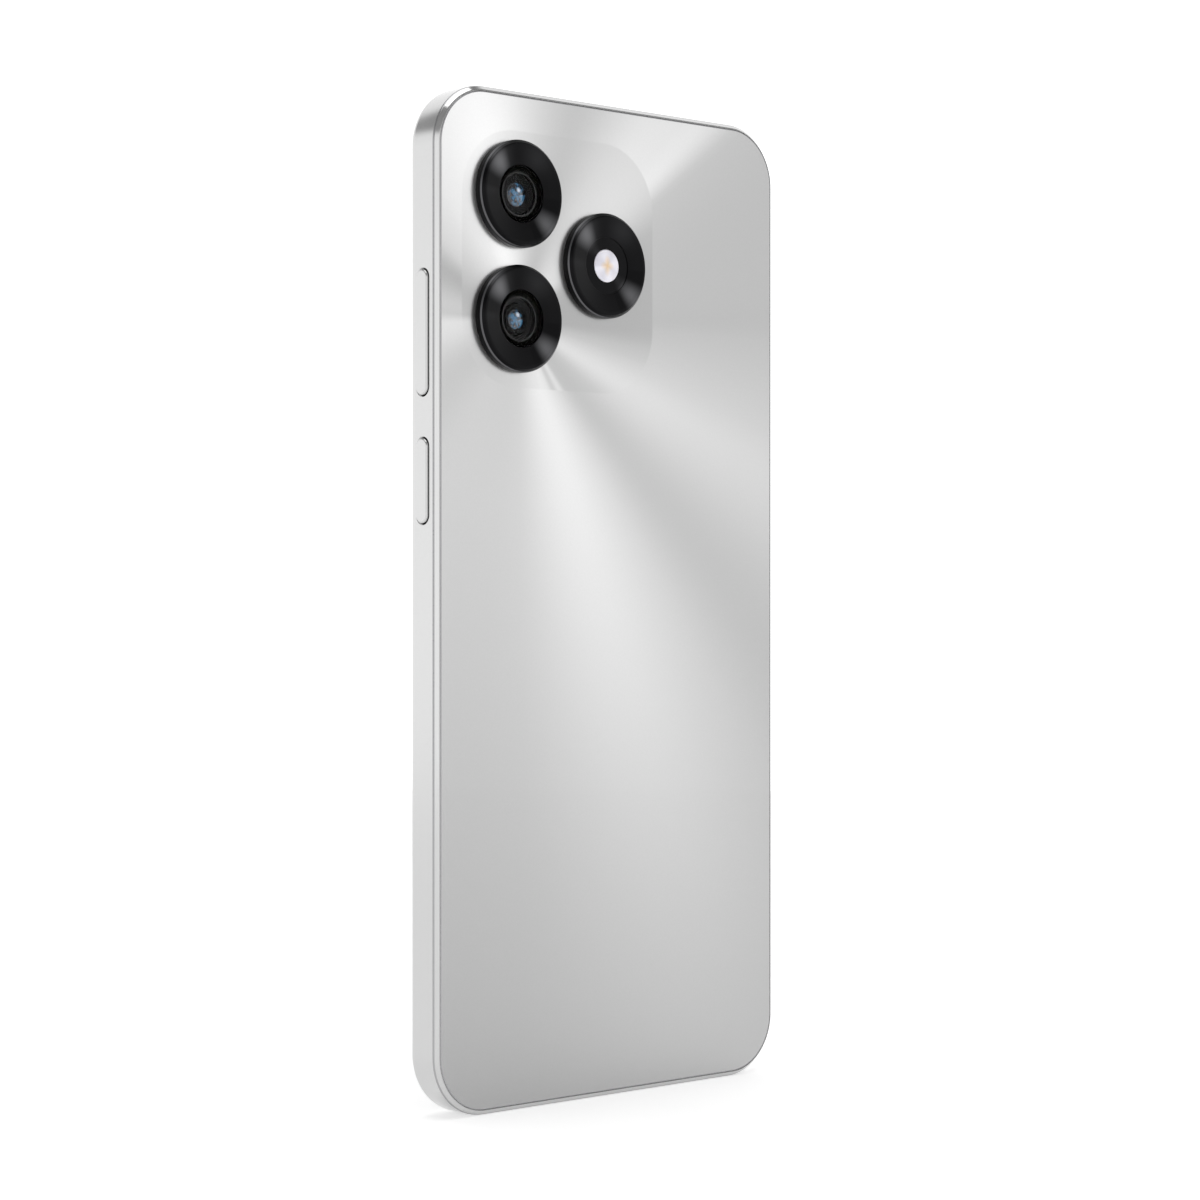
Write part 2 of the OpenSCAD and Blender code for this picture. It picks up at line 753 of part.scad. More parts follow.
// Thin coaxial lead along the left side, with a round plug at each end
module antenna_cable() {
    r = 0.35;
    bend = 2;
    x = -34.6;
    low_z = 12;
    high_z = 114.8;
    end_x = -31.2;
    color("black") {
        translate([x, 0, low_z + bend]) cylinder(r = r, h = high_z - low_z - 2 * bend);
        for (top = [0, 1]) {
            z = top == 1 ? high_z : low_z;
            translate([x + bend, 0, top == 1 ? z - bend : z + bend])
                rotate([0, top == 1 ? -180 : 90, 0]) rotate([-90, 0, 0])
                    rotate_extrude(angle = 90) translate([bend, 0]) circle(r = r);
            translate([x + bend, 0, z]) rotate([0, 90, 0]) cylinder(r = r, h = end_x - x - bend);
            disc(end_x, z, 0.9, -0.35, 0.38);
        }
    }
}

// ---- lower electronics --------------------------------------------------------------

module sub_board() {
    color("darkgreen") difference() {
        block([-33.8, sub_y0, 5.8], [sub_x1, sub_y1, sub_z1]);
        block([-5, sub_y0 - 1, 0], [5, sub_y1 + 1, 8.2]);
        block([jack_x - 3.4, sub_y0 - 1, 0], [jack_x + 3.4, sub_y1 + 1, 15.6]);
        at_screws(lower_screws, screw_r + 0.05, -2, 2);
    }
}

// Shell of the charging port, open at the bottom edge
module usb_shell() {
    color("silver") translate([0, 0, 0.15]) difference() {
        linear_extrude(usb_len) rotate(90) slot(usb_w + 2 * usb_wall, usb_h + 2 * usb_wall);
        translate([0, 0, -1]) linear_extrude(usb_len + 0.2) rotate(90) slot(usb_w, usb_h);
    }
}

module usb_tongue() {
    color("black") block([-3.35, -0.35, 1], [3.35, 0.35, usb_len - 0.65]);
}

module headphone_jack() {
    w = jack_w / 2;
    h = jack_h / 2;
    color("black") difference() {
        block([jack_x - w, jack_y - h, wall + 0.1], [jack_x + w, jack_y + h, wall + 0.1 + jack_len]);
        translate([jack_x, jack_y, 0]) cylinder(r = jack_r, h = wall + jack_len - 0.9);
    }
}

module bottom_microphone() {
    color("silver") block([mic_x - 1.7, -0.35, 3.2], [mic_x + 1.7, 0.65, 5.8]);
}

// Coin motor: a sealed can, a fixed pin and a half-disc weight that hangs below the pin
module motor_can() {
    color("silver") difference() {
        disc(motor_x, motor_z, motor_r, motor_y0, motor_y1);
        disc(motor_x, motor_z, motor_r - motor_wall, motor_y0 + motor_wall, motor_y1 - motor_wall);
    }
}

module motor_shaft() {
    color("gray") disc(motor_x, motor_z, motor_pin_r, motor_y0 + motor_wall, motor_y1 - motor_wall);
}

module motor_rotor() {
    y0 = motor_y0 + motor_wall + 0.2;
    y1 = motor_y1 - motor_wall - 0.2;
    color("goldenrod") difference() {
        union() {
            translate([motor_x, y0, motor_z]) rotate([-90, 0, 0])
                rotate_extrude(angle = 180) square([3.4, y1 - y0]);
            disc(motor_x, motor_z, 1, y0, y1);
        }
        disc(motor_x, motor_z, motor_pin_r + 0.05, y0 - 1, y1 + 1);
    }
}

// Sound box: a hollow housing with an outlet towards the sound holes
module loudspeaker_box() {
    in = [speaker_wall, speaker_wall, speaker_wall];
    color("black") {
        difference() {
            intersection() {
                block(speaker_lo, speaker_hi);
                inside_walls(0.3);
            }
            intersection() {
                block(speaker_lo + in, speaker_hi - in);
                inside_walls(0.3 + speaker_wall);
            }
            block([sound_x0 - 1, sound_y - 0.8, 0], [sound_x0 + (sound_holes - 1) * sound_pitch + 1, sound_y + 0.8, 4]);
        }
        difference() {
            sheet(speaker_lo[1] + 0.5, 1.3) translate([speaker_mid[0], speaker_mid[2]]) rotate(90) slot(18, 12);
            sheet(-2, 4) translate([speaker_mid[0], speaker_mid[2]]) rotate(90) slot(16, 10);
        }
    }
}

module loudspeaker_magnet() {
    lo = speaker_lo[1] + speaker_wall;
    color("gray") sheet(lo, 0.9) translate([speaker_mid[0], speaker_mid[2]]) rotate(90) slot(13, 8);
}

module loudspeaker_cone() {
    color("dimgray") sheet(1.3, 1.5) translate([speaker_mid[0], speaker_mid[2]]) rotate(90) slot(17.6, 11.6);
}

module loudspeaker_mesh() {
    color("dimgray")
        block([sound_x0 - 1.5, sound_y - 1.2, wall + 0.05],
              [sound_x0 + (sound_holes - 1) * sound_pitch + 1.5, sound_y + 1.2, wall + 0.25]);
}

// Screws of both boards
module screws() {
    color("silver") {
        for (p = upper_screws) {
            disc(p[0], p[1], screw_head_r, bracket_y1, bracket_y1 + 0.4);
            disc(p[0], p[1], screw_r, -0.5, bracket_y1);
        }
        for (p = lower_screws) {
            disc(p[0], p[1], screw_head_r, sub_y1, sub_y1 + 0.5);
            disc(p[0], p[1], screw_r, plate_y0 + 0.05, sub_y1);
        }
    }
}

side_frame();
mid_plate();
front_glass();
display_adhesive();
display_panel();
display_flex();
earpiece();
earpiece_mesh();
front_camera();
light_sensor();
back_cover();
back_adhesive();
upper_camera_ring();
lower_camera_ring();
flash_ring();
upper_lens_glass();
lower_lens_glass();
flash_lens();
flash_led();
camera_gaskets();
main_camera_housing();
main_camera_sensor();
lens_barrel();
second_camera();
volume_rocker();
power_button();
fingerprint_sensor();
key_bracket();
side_key_flex();
dome_switches();
sim_tray();
tray_seal();
card_reader();
eject_rod();
eject_lever();
lever_pin();
main_board();
back_shields();
front_shield();
upper_bracket();
top_microphone();
battery();
battery_adhesive();
battery_lead();
main_flex();
antenna_cable();
sub_board();
usb_shell();
usb_tongue();
headphone_jack();
bottom_microphone();
motor_can();
motor_shaft();
motor_rotor();
loudspeaker_box();
loudspeaker_magnet();
loudspeaker_cone();
loudspeaker_mesh();
screws();
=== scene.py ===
"""Finished look of a slim smartphone: satin aluminium frame, film-backed glass, three black camera rings.

Lengths are metres in the phone's own frame: X along the width, Y from the screen to the back, Z up.
"""
import math

import bmesh
import bpy
import numpy as np
from bpy.props import FloatProperty, FloatVectorProperty, PointerProperty
from mathutils import Matrix, Vector


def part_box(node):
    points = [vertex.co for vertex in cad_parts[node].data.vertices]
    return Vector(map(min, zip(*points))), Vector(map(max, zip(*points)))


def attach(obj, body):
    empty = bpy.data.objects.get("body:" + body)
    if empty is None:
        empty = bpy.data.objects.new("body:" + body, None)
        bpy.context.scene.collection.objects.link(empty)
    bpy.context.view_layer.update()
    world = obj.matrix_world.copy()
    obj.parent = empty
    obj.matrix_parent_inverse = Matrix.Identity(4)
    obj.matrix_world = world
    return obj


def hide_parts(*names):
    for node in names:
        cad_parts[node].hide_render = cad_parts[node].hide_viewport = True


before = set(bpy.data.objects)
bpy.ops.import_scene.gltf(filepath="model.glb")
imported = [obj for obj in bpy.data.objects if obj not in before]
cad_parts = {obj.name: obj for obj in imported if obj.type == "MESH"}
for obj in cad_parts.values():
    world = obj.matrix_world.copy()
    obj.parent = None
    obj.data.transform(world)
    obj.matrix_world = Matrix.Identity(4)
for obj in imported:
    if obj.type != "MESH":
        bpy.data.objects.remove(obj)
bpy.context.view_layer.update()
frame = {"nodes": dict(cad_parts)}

bl_info = {
    "name": "Smartphone finishes",
    "version": (1, 0, 0),
    "blender": (4, 5, 0),
    "location": "3D View > Sidebar > Phone",
    "description": "Builds the visible pieces of a slim smartphone and the stage it stands on",
    "category": "Add Mesh",
}

MM = 0.001
ACROSS = (0, 2, 1)                      # outline drawn in X and Z, height along Y
SIDEWAYS = (1, 2, 0)                    # outline drawn in Y and Z, height along X
UPRIGHT = (0, 1, 2)                     # outline drawn in X and Y, height along Z
SHARP = math.radians(32)                # a steeper edge than this is shaded as an edge
SAME_PLACE = 1e-4                       # in mm: corners closer than this after a cut become one

# Distances of the keys' parts from the phone's middle, along X
KEY_NUB = 35.35 * MM                    # inner end of the nubs that press the dome switches
KEY_FLANGE = 35.75 * MM                 # inner face of the flange that holds a key in its window
KEY_STEP = 36.15 * MM                   # outer face of that flange
KEY_ROOM = 34.9 * MM                    # inner end of the room cut for the flange

# Stage, in metres and degrees
FLOOR_RADIUS = 0.75
CAMERA_PLACE = (0.31726, 0.35073, 0.08184)
CAMERA_TURN = 137.84                    # about Z, from looking along +Y
BEYOND = (-0.6713, -0.7412, 0)          # level direction of the bright panel, beyond the phone


def linear(hex_colour):
    """Linear colour of an sRGB hex value: c / 12.92 in the darkest tones, else ((c + 0.055) / 1.055) ^ 2.4."""
    srgb = np.array([int(hex_colour[i:i + 2], 16) for i in (1, 3, 5)]) / 255
    value = np.where(srgb <= 0.04045, srgb / 12.92, ((srgb + 0.055) / 1.055) ** 2.4)
    return (*value.tolist(), 1.0)


def colour_prop(name, hex_colour, description):
    """A colour setting, given as an sRGB hex value."""
    return FloatVectorProperty(name=name, description=description, subtype="COLOR", size=4,
                               min=0, max=1, default=linear(hex_colour))


def length_prop(name, millimetres, description):
    """A length setting, given in mm."""
    return FloatProperty(name=name, description=description, default=millimetres * MM,
                         min=0, unit="LENGTH", precision=5)


def size_of(node):
    """Size of a CAD node's box."""
    low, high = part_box(node)
    return high - low


def middle_of(node):
    """Middle of a CAD node's box."""
    low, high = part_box(node)
    return (low + high) / 2


# ---- shapes ---------------------------------------------------------------------------

def outline(half_u, half_v, centre=(0, 0), steps=24):
    """Corner centres and outward directions round a rectangle with round corners.

    Direction = (cos a, sin a) as a goes through four quarter turns, and the centre is the corner
    (+-half_u, +-half_v) of that quarter. No half lengths give a circle, one gives a slot. A point just
    past each arc keeps the straight stretches flat in the shading.
    """
    turn = np.concatenate([[0], np.linspace(0, 1, steps + 1), [1]])
    angle = (np.arange(4)[:, None] + turn) * np.pi / 2
    direction = np.stack([np.cos(angle), np.sin(angle)], -1)
    along = np.stack([-np.sin(angle), np.cos(angle)], -1)
    shift = np.zeros_like(angle)
    straights = np.array([(half_v, half_u), (half_u, half_v)] * 2)
    shift[:, 0] = -np.minimum(0.3 * MM, straights[:, 0])
    shift[:, -1] = np.minimum(0.3 * MM, straights[:, 1])
    corner = np.array([(1, 1), (-1, 1), (-1, -1), (1, -1)])[:, None] * (half_u, half_v) + centre
    corner = (corner + along * shift[..., None]).reshape(-1, 2)
    direction = direction.reshape(-1, 2)
    reach = corner + direction
    keep = np.linalg.norm(reach - np.roll(reach, 1, 0), axis=1) > 1e-7
    return corner[keep], direction[keep]


def softened(corners, cuts, steps=5):
    """A closed section whose corners are rounded, in the corners' own unit.

    Corner P becomes (1-t)^2 A + 2t(1-t) P + t^2 B for t from 0 to 1, where A and B lie a cut's length
    from P towards its neighbours. A further point beyond A and B keeps the flats flat in the shading.
    """
    p = np.asarray(corners, float)
    cut = np.broadcast_to(cuts, len(p))[:, None]
    back, on = np.roll(p, 1, 0) - p, np.roll(p, -1, 0) - p
    far_back, far_on = (np.linalg.norm(v, axis=1, keepdims=True) for v in (back, on))
    t = np.linspace(0, 1, steps + 1)[None, :, None]
    a, b = p + back / far_back * cut, p + on / far_on * cut
    curve = (1 - t) ** 2 * a[:, None] + 2 * t * (1 - t) * p[:, None] + t * t * b[:, None]
    guard = np.where(cut > 0, 1.6, 0)
    before = p + back / far_back * np.minimum(cut * guard, far_back * 0.45)
    after = p + on / far_on * np.minimum(cut * guard, far_on * 0.45)
    points = np.concatenate([before[:, None], curve, after[:, None]], 1).reshape(-1, 2)
    keep = np.linalg.norm(points - np.roll(points, 1, 0), axis=1) > 1e-6
    return points[keep]


def carried(path, section, axes=ACROSS):
    """Rings of points, one per section point (reach, height): corner centre + direction * reach."""
    corner, direction = path
    section = np.asarray(section, float)
    flat = corner[None] + direction[None] * section[:, :1, None]
    rings = np.empty((*flat.shape[:2], 3))
    rings[..., axes[0]], rings[..., axes[1]] = flat[..., 0], flat[..., 1]
    rings[..., axes[2]] = section[:, 1:2]
    return rings


def shell(rings, loop=False, finish=0):
    """Closed surface through rings of points: each joins the next, and the last joins the first, or both
    end rings are closed by a flat face. Finish is a material number, or one for each strip of faces."""
    count, around = rings.shape[:2]
    ids = np.arange(count * around).reshape(count, around)
    if loop:
        ids = np.concatenate([ids, ids[:1]])
    here, there = np.roll(ids, -1, 1), ids
    quads = np.stack([there[:-1], here[:-1], here[1:], there[1:]], -1).reshape(-1, 4)
    strips = np.broadcast_to(finish, len(ids) - 1)
    faces, paint = quads.tolist(), np.repeat(strips, around).tolist()
    if not loop:
        faces += [ids[0].tolist(), ids[-1].tolist()]
        paint += [int(strips[0]), int(strips[-1])]
    return rings.reshape(-1, 3), faces, paint


def piece(name, *shells, materials=()):
    """One object made of closed shells, with its faces turned outwards and its steep edges kept sharp."""
    points, faces, paint = [], [], []
    for its_points, its_faces, its_paint in shells:
        first = sum(len(p) for p in points)
        faces += [[first + i for i in face] for face in its_faces]
        points.append(its_points)
        paint += its_paint
    mesh = bpy.data.meshes.new(name)
    mesh.from_pydata(np.concatenate(points).tolist(), [], faces)
    mesh.polygons.foreach_set("material_index", paint)
    made = bpy.data.objects.new(name, mesh)
    bpy.context.scene.collection.objects.link(made)
    for material in materials:
        mesh.materials.append(material)
    shape = bmesh.new()
    shape.from_mesh(mesh)
    bmesh.ops.recalc_face_normals(shape, faces=shape.faces)
    shape.to_mesh(mesh)
    shape.free()
    return smooth(made)


def smooth(made):
    """Shades a piece smooth between its steep edges."""
    made.data.shade_smooth()
    made.data.set_sharp_from_angle(angle=SHARP)
    return made


def cut(made, *shells):
    """Takes closed shells out of a piece. Shells that overlap each other go in separate calls. The piece
    is a thousand times larger meanwhile, so that the faces round its small holes split cleanly."""
    tool = piece("cutter", *shells, materials=made.data.materials)
    for each in (made.data, tool.data):
        each.transform(Matrix.Scale(1 / MM, 4))
        each.update()
    modifier = made.modifiers.new("cut", "BOOLEAN")
    modifier.operation, modifier.solver, modifier.object = "DIFFERENCE", "EXACT", tool
    graph = bpy.context.evaluated_depsgraph_get()
    old = made.data
    made.data = bpy.data.meshes.new_from_object(made.evaluated_get(graph))
    made.modifiers.clear()
    bpy.data.objects.remove(tool)
    bpy.data.meshes.remove(old)
    made.data.name = made.name
    shape = bmesh.new()
    shape.from_mesh(made.data)
    bmesh.ops.triangulate(shape, faces=shape.faces)
    bmesh.ops.remove_doubles(shape, verts=shape.verts, dist=SAME_PLACE)
    shape.to_mesh(made.data)
    shape.free()
    made.data.transform(Matrix.Scale(MM, 4))
    return smooth(made)


def joined(made, body, slot, *nodes):
    """Says which body a piece rides on and the CAD nodes it stands for, which it hides. The slot is not used.
    """
    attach(made, body)
    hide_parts(*nodes)
    return made


def slot_hole(u, v, half_u, half_v, reach, low, high, flare, axes):
    """Cutter for a hole with round ends, its mouth at `high` opened by a small polished flare."""
    deep = math.copysign(flare, high - low)
    section = [(reach, low), (reach, high - deep), (reach + flare, high), (reach + flare, high + 2 * deep)]
    return shell(carried(outline(half_u, half_v, (u, v), 12), section, axes), finish=[0, 1, 1])


# ---- finishes -------------------------------------------------------------------------

def add(tree, kind, sockets=None, **settings):
    """Adds a node with its settings; a socket takes a value or the output that feeds it."""
    made = tree.nodes.new("ShaderNode" + kind)
    for key, value in settings.items():
        setattr(made, key, value)
    for key, value in (sockets or {}).items():
        if isinstance(value, bpy.types.NodeSocket):
            tree.links.new(value, made.inputs[key])
        else:
            made.inputs[key].default_value = value
    return made


def blank(name, **sockets):
    """A material with one shader, whose sockets are given by name, and the place on the object."""
    made = bpy.data.materials.get(name) or bpy.data.materials.new(name)
    made.use_nodes = True
    tree = made.node_tree
    tree.nodes.clear()
    shader = add(tree, "BsdfPrincipled", {k.replace("_", " "): v for k, v in sockets.items()})
    add(tree, "OutputMaterial", {"Surface": shader.outputs[0]})
    return made, tree, shader, add(tree, "TexCoord").outputs["Object"]


def feed(tree, output, shader, socket):
    """Joins an output to one of the shader's named sockets."""
    tree.links.new(output, shader.inputs[socket])


def ramp(tree, factor, stops, interpolation="CARDINAL"):
    """A grey ramp from (position, level) pairs in rising order."""
    made = add(tree, "ValToRGB", {"Fac": factor})
    band = made.color_ramp
    band.interpolation = interpolation
    while len(band.elements) < len(stops):
        band.elements.new(0.5)
    for element, (position, level) in zip(band.elements, stops):
        element.position = position
    for element, (position, level) in zip(band.elements, stops):
        element.color = (level, level, level, 1)
    return made.outputs[0]


def grained(name, dark, light, grain, relief, rough, stretch=(1, 1, 1), **sockets):
    """A finish with one pattern: noise of a grain in mm, stretched the way the surface was worked, drives
    the colour from dark to light, the roughness over a range, and a relief in mm."""
    made, tree, shader, place = blank(name, **sockets)
    scale = [1 / (grain * MM * s) for s in stretch]
    spread = add(tree, "Mapping", {"Vector": place, "Scale": scale})
    noise = add(tree, "TexNoise", {"Vector": spread.outputs[0], "Scale": 1.0, "Detail": 3.0})
    level = noise.outputs[0]
    colour = add(tree, "Mix", {0: level, 6: linear(dark), 7: linear(light)}, data_type="RGBA")
    rough = add(tree, "MapRange", {"Value": level, "From Min": 0.3, "From Max": 0.7,
                                   "To Min": rough[0], "To Max": rough[1]})
    bump = add(tree, "Bump", {"Height": level, "Strength": 0.6, "Distance": relief * MM})
    feed(tree, colour.outputs[2], shader, "Base Color")
    feed(tree, rough.outputs[0], shader, "Roughness")
    feed(tree, bump.outputs[0], shader, "Normal")
    return made


def grid_finish(name, ground, line, pitch, share, relief, axes=(0, 2), **sockets):
    """A finish with a square grid of lines: where the place over the pitch, in mm, is near a whole
    number along either of two axes, the line colour shows and stands up by the relief in mm."""
    made, tree, shader, place = blank(name, **sockets)
    spread = add(tree, "Mapping", {"Vector": place, "Scale": [1 / (pitch * MM)] * 3})
    parts = add(tree, "SeparateXYZ", {0: spread.outputs[0]})
    near = [add(tree, "Math", {0: parts.outputs[axis], 1: 1.0}, operation="PINGPONG") for axis in axes]
    least = add(tree, "Math", {0: near[0].outputs[0], 1: near[1].outputs[0]}, operation="MINIMUM")
    mask = add(tree, "MapRange", {"Value": least.outputs[0], "From Min": share, "From Max": share * 1.5,
                                  "To Min": 1.0, "To Max": 0.0})
    colour = add(tree, "Mix", {0: mask.outputs[0], 6: linear(ground), 7: linear(line)}, data_type="RGBA")
    bump = add(tree, "Bump", {"Height": mask.outputs[0], "Strength": 0.7, "Distance": relief * MM})
    feed(tree, colour.outputs[2], shader, "Base Color")
    feed(tree, bump.outputs[0], shader, "Normal")
    return made


def polar(tree, place, centre):
    """Turn (0 to 1, from the left clockwise as seen from behind) and radius in mm about a point of
    the back: turn = (atan2(-z, -x) + pi) / 2 pi, radius = sqrt(x^2 + z^2)."""
    about = add(tree, "Mapping", {"Vector": place, "Scale": (-1 / MM, 0, -1 / MM),
                                  "Location": (centre[0] / MM, 0, centre[1] / MM)})
    parts = add(tree, "SeparateXYZ", {0: about.outputs[0]})
    angle = add(tree, "Math", {0: parts.outputs[2], 1: parts.outputs[0]}, operation="ARCTAN2")
    turn = add(tree, "MapRange", {"Value": angle.outputs[0], "From Min": -math.pi, "From Max": math.pi})
    radius = add(tree, "VectorMath", {0: about.outputs[0]}, operation="LENGTH")
    return turn.outputs[0], radius.outputs["Value"]


def turns(*pairs):
    """Ramp stops from (clock angle in degrees, level) pairs, sorted from the seam at 180 degrees on."""
    stops = sorted((((angle + 180) % 360) / 360, level) for angle, level in pairs)
    return [(0.0, stops[0][1]), *stops, (1.0, stops[0][1])]


# Levels of the painted sheen round the lower lens, a painted reflection over the film's radial pattern: 0.5 is
# the plain silver
PAINTED_SHEEN = turns((0, 0.40), (15, 0.53), (24, 0.60), (42, 0.42), (54, 0.59), (69, 0.75), (90, 0.53), (125, 0.50),
                (150, 0.46), (174, 0.65), (188, 0.47), (204, 0.33), (214, 0.53), (228, 0.69), (240, 0.82),
                (258, 0.93), (270, 0.74), (286, 0.46), (297, 0.53), (306, 0.70), (315, 0.75), (320, 0.74),
                (324, 0.46), (354, 0.37))
# The same painted sheen inside the square field round the cameras
INNER_PAINTED_SHEEN = turns((0, 0.30), (6, 0.38), (12, 0.48), (23, 0.62), (33, 0.45), (48, 0.42), (52, 0.62),
                      (57, 0.48), (61, 0.66), (70, 0.68), (90, 0.52), (150, 0.48), (174, 0.62),
                      (204, 0.40), (240, 0.76), (258, 0.84), (286, 0.44), (306, 0.60), (320, 0.60),
                      (330, 0.36))


def silver_film_painted_sheen(colour):
    """Aluminised film under clear glass, under a sharp glass gloss. Its radial pattern is real, but the soft
    streaks that fan out from the lower lens are painted sheen, a painted reflection, with their own painted
    streaks in a square field round the cameras."""
    made, tree, shader, place = blank("silver_film_under_glass_painted_sheen", Metallic=0.92, Coat_Weight=0.6,
                                      Coat_Roughness=0.03, Coat_IOR=1.45, Roughness=0.3)
    lower = middle_of("lower_camera_ring")
    turn, radius = polar(tree, place, (lower.x - 0.6 * MM, lower.z))
    # painted reflection: the sheen's level is painted by angle round the lower lens
    outer, inner = ramp(tree, turn, PAINTED_SHEEN), ramp(tree, turn, INNER_PAINTED_SHEEN)
    # square field: distance outside a rounded square, with its half size, corner radius and centre in mm
    half, corner, field_x, field_z = 20.6, 11.0, 11.9, 136.5
    about = add(tree, "Mapping", {"Vector": place, "Scale": (1 / MM, 0, 1 / MM),
                                  "Location": (-field_x, 0, -field_z)})
    away = add(tree, "VectorMath", {0: about.outputs[0]}, operation="ABSOLUTE")
    away = add(tree, "VectorMath", {0: away.outputs[0], 1: [half - corner] * 3}, operation="SUBTRACT")
    away = add(tree, "VectorMath", {0: away.outputs[0], 1: (0, 0, 0)}, operation="MAXIMUM")
    away = add(tree, "VectorMath", {0: away.outputs[0]}, operation="LENGTH")
    inside = add(tree, "MapRange", {"Value": away.outputs["Value"], "From Min": corner - 0.15,
                                    "From Max": corner + 0.15, "To Min": 1.0, "To Max": 0.0})
    level = add(tree, "Mix", {0: inside.outputs[0], 6: outer, 7: inner}, data_type="RGBA")
    # the painted streaks weaken from 20 mm to 170 mm away from the lower lens
    fade = add(tree, "MapRange", {"Value": radius, "From Min": 20.0, "From Max": 170.0,
                                  "To Min": 1.0, "To Max": 0.25})
    lean = add(tree, "Math", {0: level.outputs[2], 1: 1.5, 2: -0.77}, operation="MULTIPLY_ADD")
    lean = add(tree, "Math", {0: lean.outputs[0], 1: fade.outputs[0], 2: 1.0}, operation="MULTIPLY_ADD")
    # painted shade: the silver darkens from 30 mm to 130 mm away from the lower lens, towards the bottom of the
    # back
    painted_shade_down = add(tree, "MapRange", {"Value": radius, "From Min": 30.0, "From Max": 130.0,
                                    "To Min": 0.97, "To Max": 0.73})
    flakes = add(tree, "TexNoise", {"Vector": place, "Scale": 1 / (0.35 * MM), "Detail": 2.0})
    glint = add(tree, "MapRange", {"Value": flakes.outputs[0], "To Min": 0.97, "To Max": 1.03})
    strength = add(tree, "Math", {0: lean.outputs[0], 1: glint.outputs[0]}, operation="MULTIPLY")
    strength = add(tree, "Math", {0: strength.outputs[0], 1: painted_shade_down.outputs[0]}, operation="MULTIPLY")
    silver = add(tree, "VectorMath", {0: colour[:3], "Scale": strength.outputs[0]}, operation="SCALE")
    feed(tree, silver.outputs[0], shader, "Base Color")
    return made


def spun_black_ring(name, centre, rim, colour):
    """Black anodised aluminium, spun and lacquered, with fine turned circles in the bump. Two soft opposite
    fans of highlight, where such circles would catch the light, are painted into its colour."""
    made, tree, shader, place = blank(name, Metallic=1.0, Roughness=0.3)
    turn, radius = polar(tree, place, centre)
    # painted highlight: two bright fans at fixed clock angles, strongest midway out on the face
    fans = ramp(tree, turn, turns((0, 0.02), (22, 0.05), (43, 1.0), (60, 0.05), (74, 0.02), (170, 0.02),
                                  (202, 0.05), (224, 1.0), (243, 0.08), (300, 0.12), (325, 0.04)))
    reach = ramp(tree, add(tree, "MapRange", {"Value": radius, "From Min": 4.0, "From Max": 9.0}).outputs[0],
                 [(0.0, 0.1), (0.2, 0.55), (0.5, 1.0), (0.75, 0.8), (0.88, 0.3), (1.0, 0.05)])
    amount = add(tree, "Math", {0: fans, 1: reach}, operation="MULTIPLY")
    # painted highlight: a bright line on the outer corner of the rim, painted only on the side of the keys
    lit = ramp(tree, turn, turns((0, 0.0), (60, 0.05), (100, 0.8), (150, 0.9), (215, 0.9), (255, 0.05)))
    line = add(tree, "Math", {0: radius, 1: rim, 2: 0.1}, operation="COMPARE")
    line = add(tree, "Math", {0: line.outputs[0], 1: lit}, operation="MULTIPLY")
    amount = add(tree, "Math", {0: amount.outputs[0], 1: line.outputs[0]}, operation="MAXIMUM")
    # the dark ring colour, lifted to grey where the highlights are painted
    shade = add(tree, "Mix", {0: amount.outputs[0], 6: colour, 7: linear("#5C5C5E")}, data_type="RGBA")
    # circles every 0.12 mm, coarser than a lathe's so that they show
    circles = add(tree, "Math", {0: add(tree, "Math", {0: radius, 1: 2 * math.pi / 0.12}, operation="MULTIPLY")
                                 .outputs[0]}, operation="SINE")
    bump = add(tree, "Bump", {"Height": circles.outputs[0], "Strength": 0.25, "Distance": 0.004 * MM})
    feed(tree, shade.outputs[2], shader, "Base Color")
    feed(tree, bump.outputs[0], shader, "Normal")
    return made


def coated_lens(name, centre, dark, blue):
    """Glass lens with an anti-reflection coating: near black, with painted blue reflections that break up over
    its face and two painted highlights, a pale spot and a dimmer one."""
    made, tree, shader, place = blank(name, Roughness=0.06, Coat_Weight=1.0, Coat_Roughness=0.02)
    # the painted reflections are centred 0.8 mm to one side of the lens
    about = add(tree, "Mapping", {"Vector": place, "Scale": (1 / MM, 0, 1 / MM),
                                  "Location": (-centre[0] / MM + 0.8, 0, -centre[1] / MM)})
    # painted blue reflection, broken up by noise
    noise = add(tree, "TexNoise", {"Vector": about.outputs[0], "Scale": 1.2, "Detail": 2.0})
    blotch = ramp(tree, noise.outputs[0], [(0.36, 0.0), (0.47, 0.3), (0.56, 1.0)], "EASE")
    sheen = add(tree, "Mix", {0: blotch, 6: dark, 7: blue}, data_type="RGBA")
    # two painted highlights: a pale spot and a dim one
    for (x, z, size, tint) in ((0.45, 0.75, 0.5, "#E4EFFA"), (-0.7, -1.3, 0.5, "#8C9AB0")):
        spot = add(tree, "VectorMath", {0: about.outputs[0], 1: (x, 0, z)}, operation="DISTANCE")
        amount = add(tree, "MapRange", {"Value": spot.outputs["Value"], "From Min": size * 0.3,
                                        "From Max": size, "To Min": 0.9, "To Max": 0.0})
        sheen = add(tree, "Mix", {0: amount.outputs[0], 6: sheen.outputs[2], 7: linear(tint)},
                    data_type="RGBA")
    distance = add(tree, "VectorMath", {0: about.outputs[0]}, operation="LENGTH")
    rim = add(tree, "MapRange", {"Value": distance.outputs["Value"], "From Min": 1.7, "From Max": 2.6,
                                 "To Min": 0.0, "To Max": 1.0})
    sheen = add(tree, "Mix", {0: rim.outputs[0], 6: sheen.outputs[2], 7: dark}, data_type="RGBA")
    feed(tree, sheen.outputs[2], shader, "Base Color")
    return made


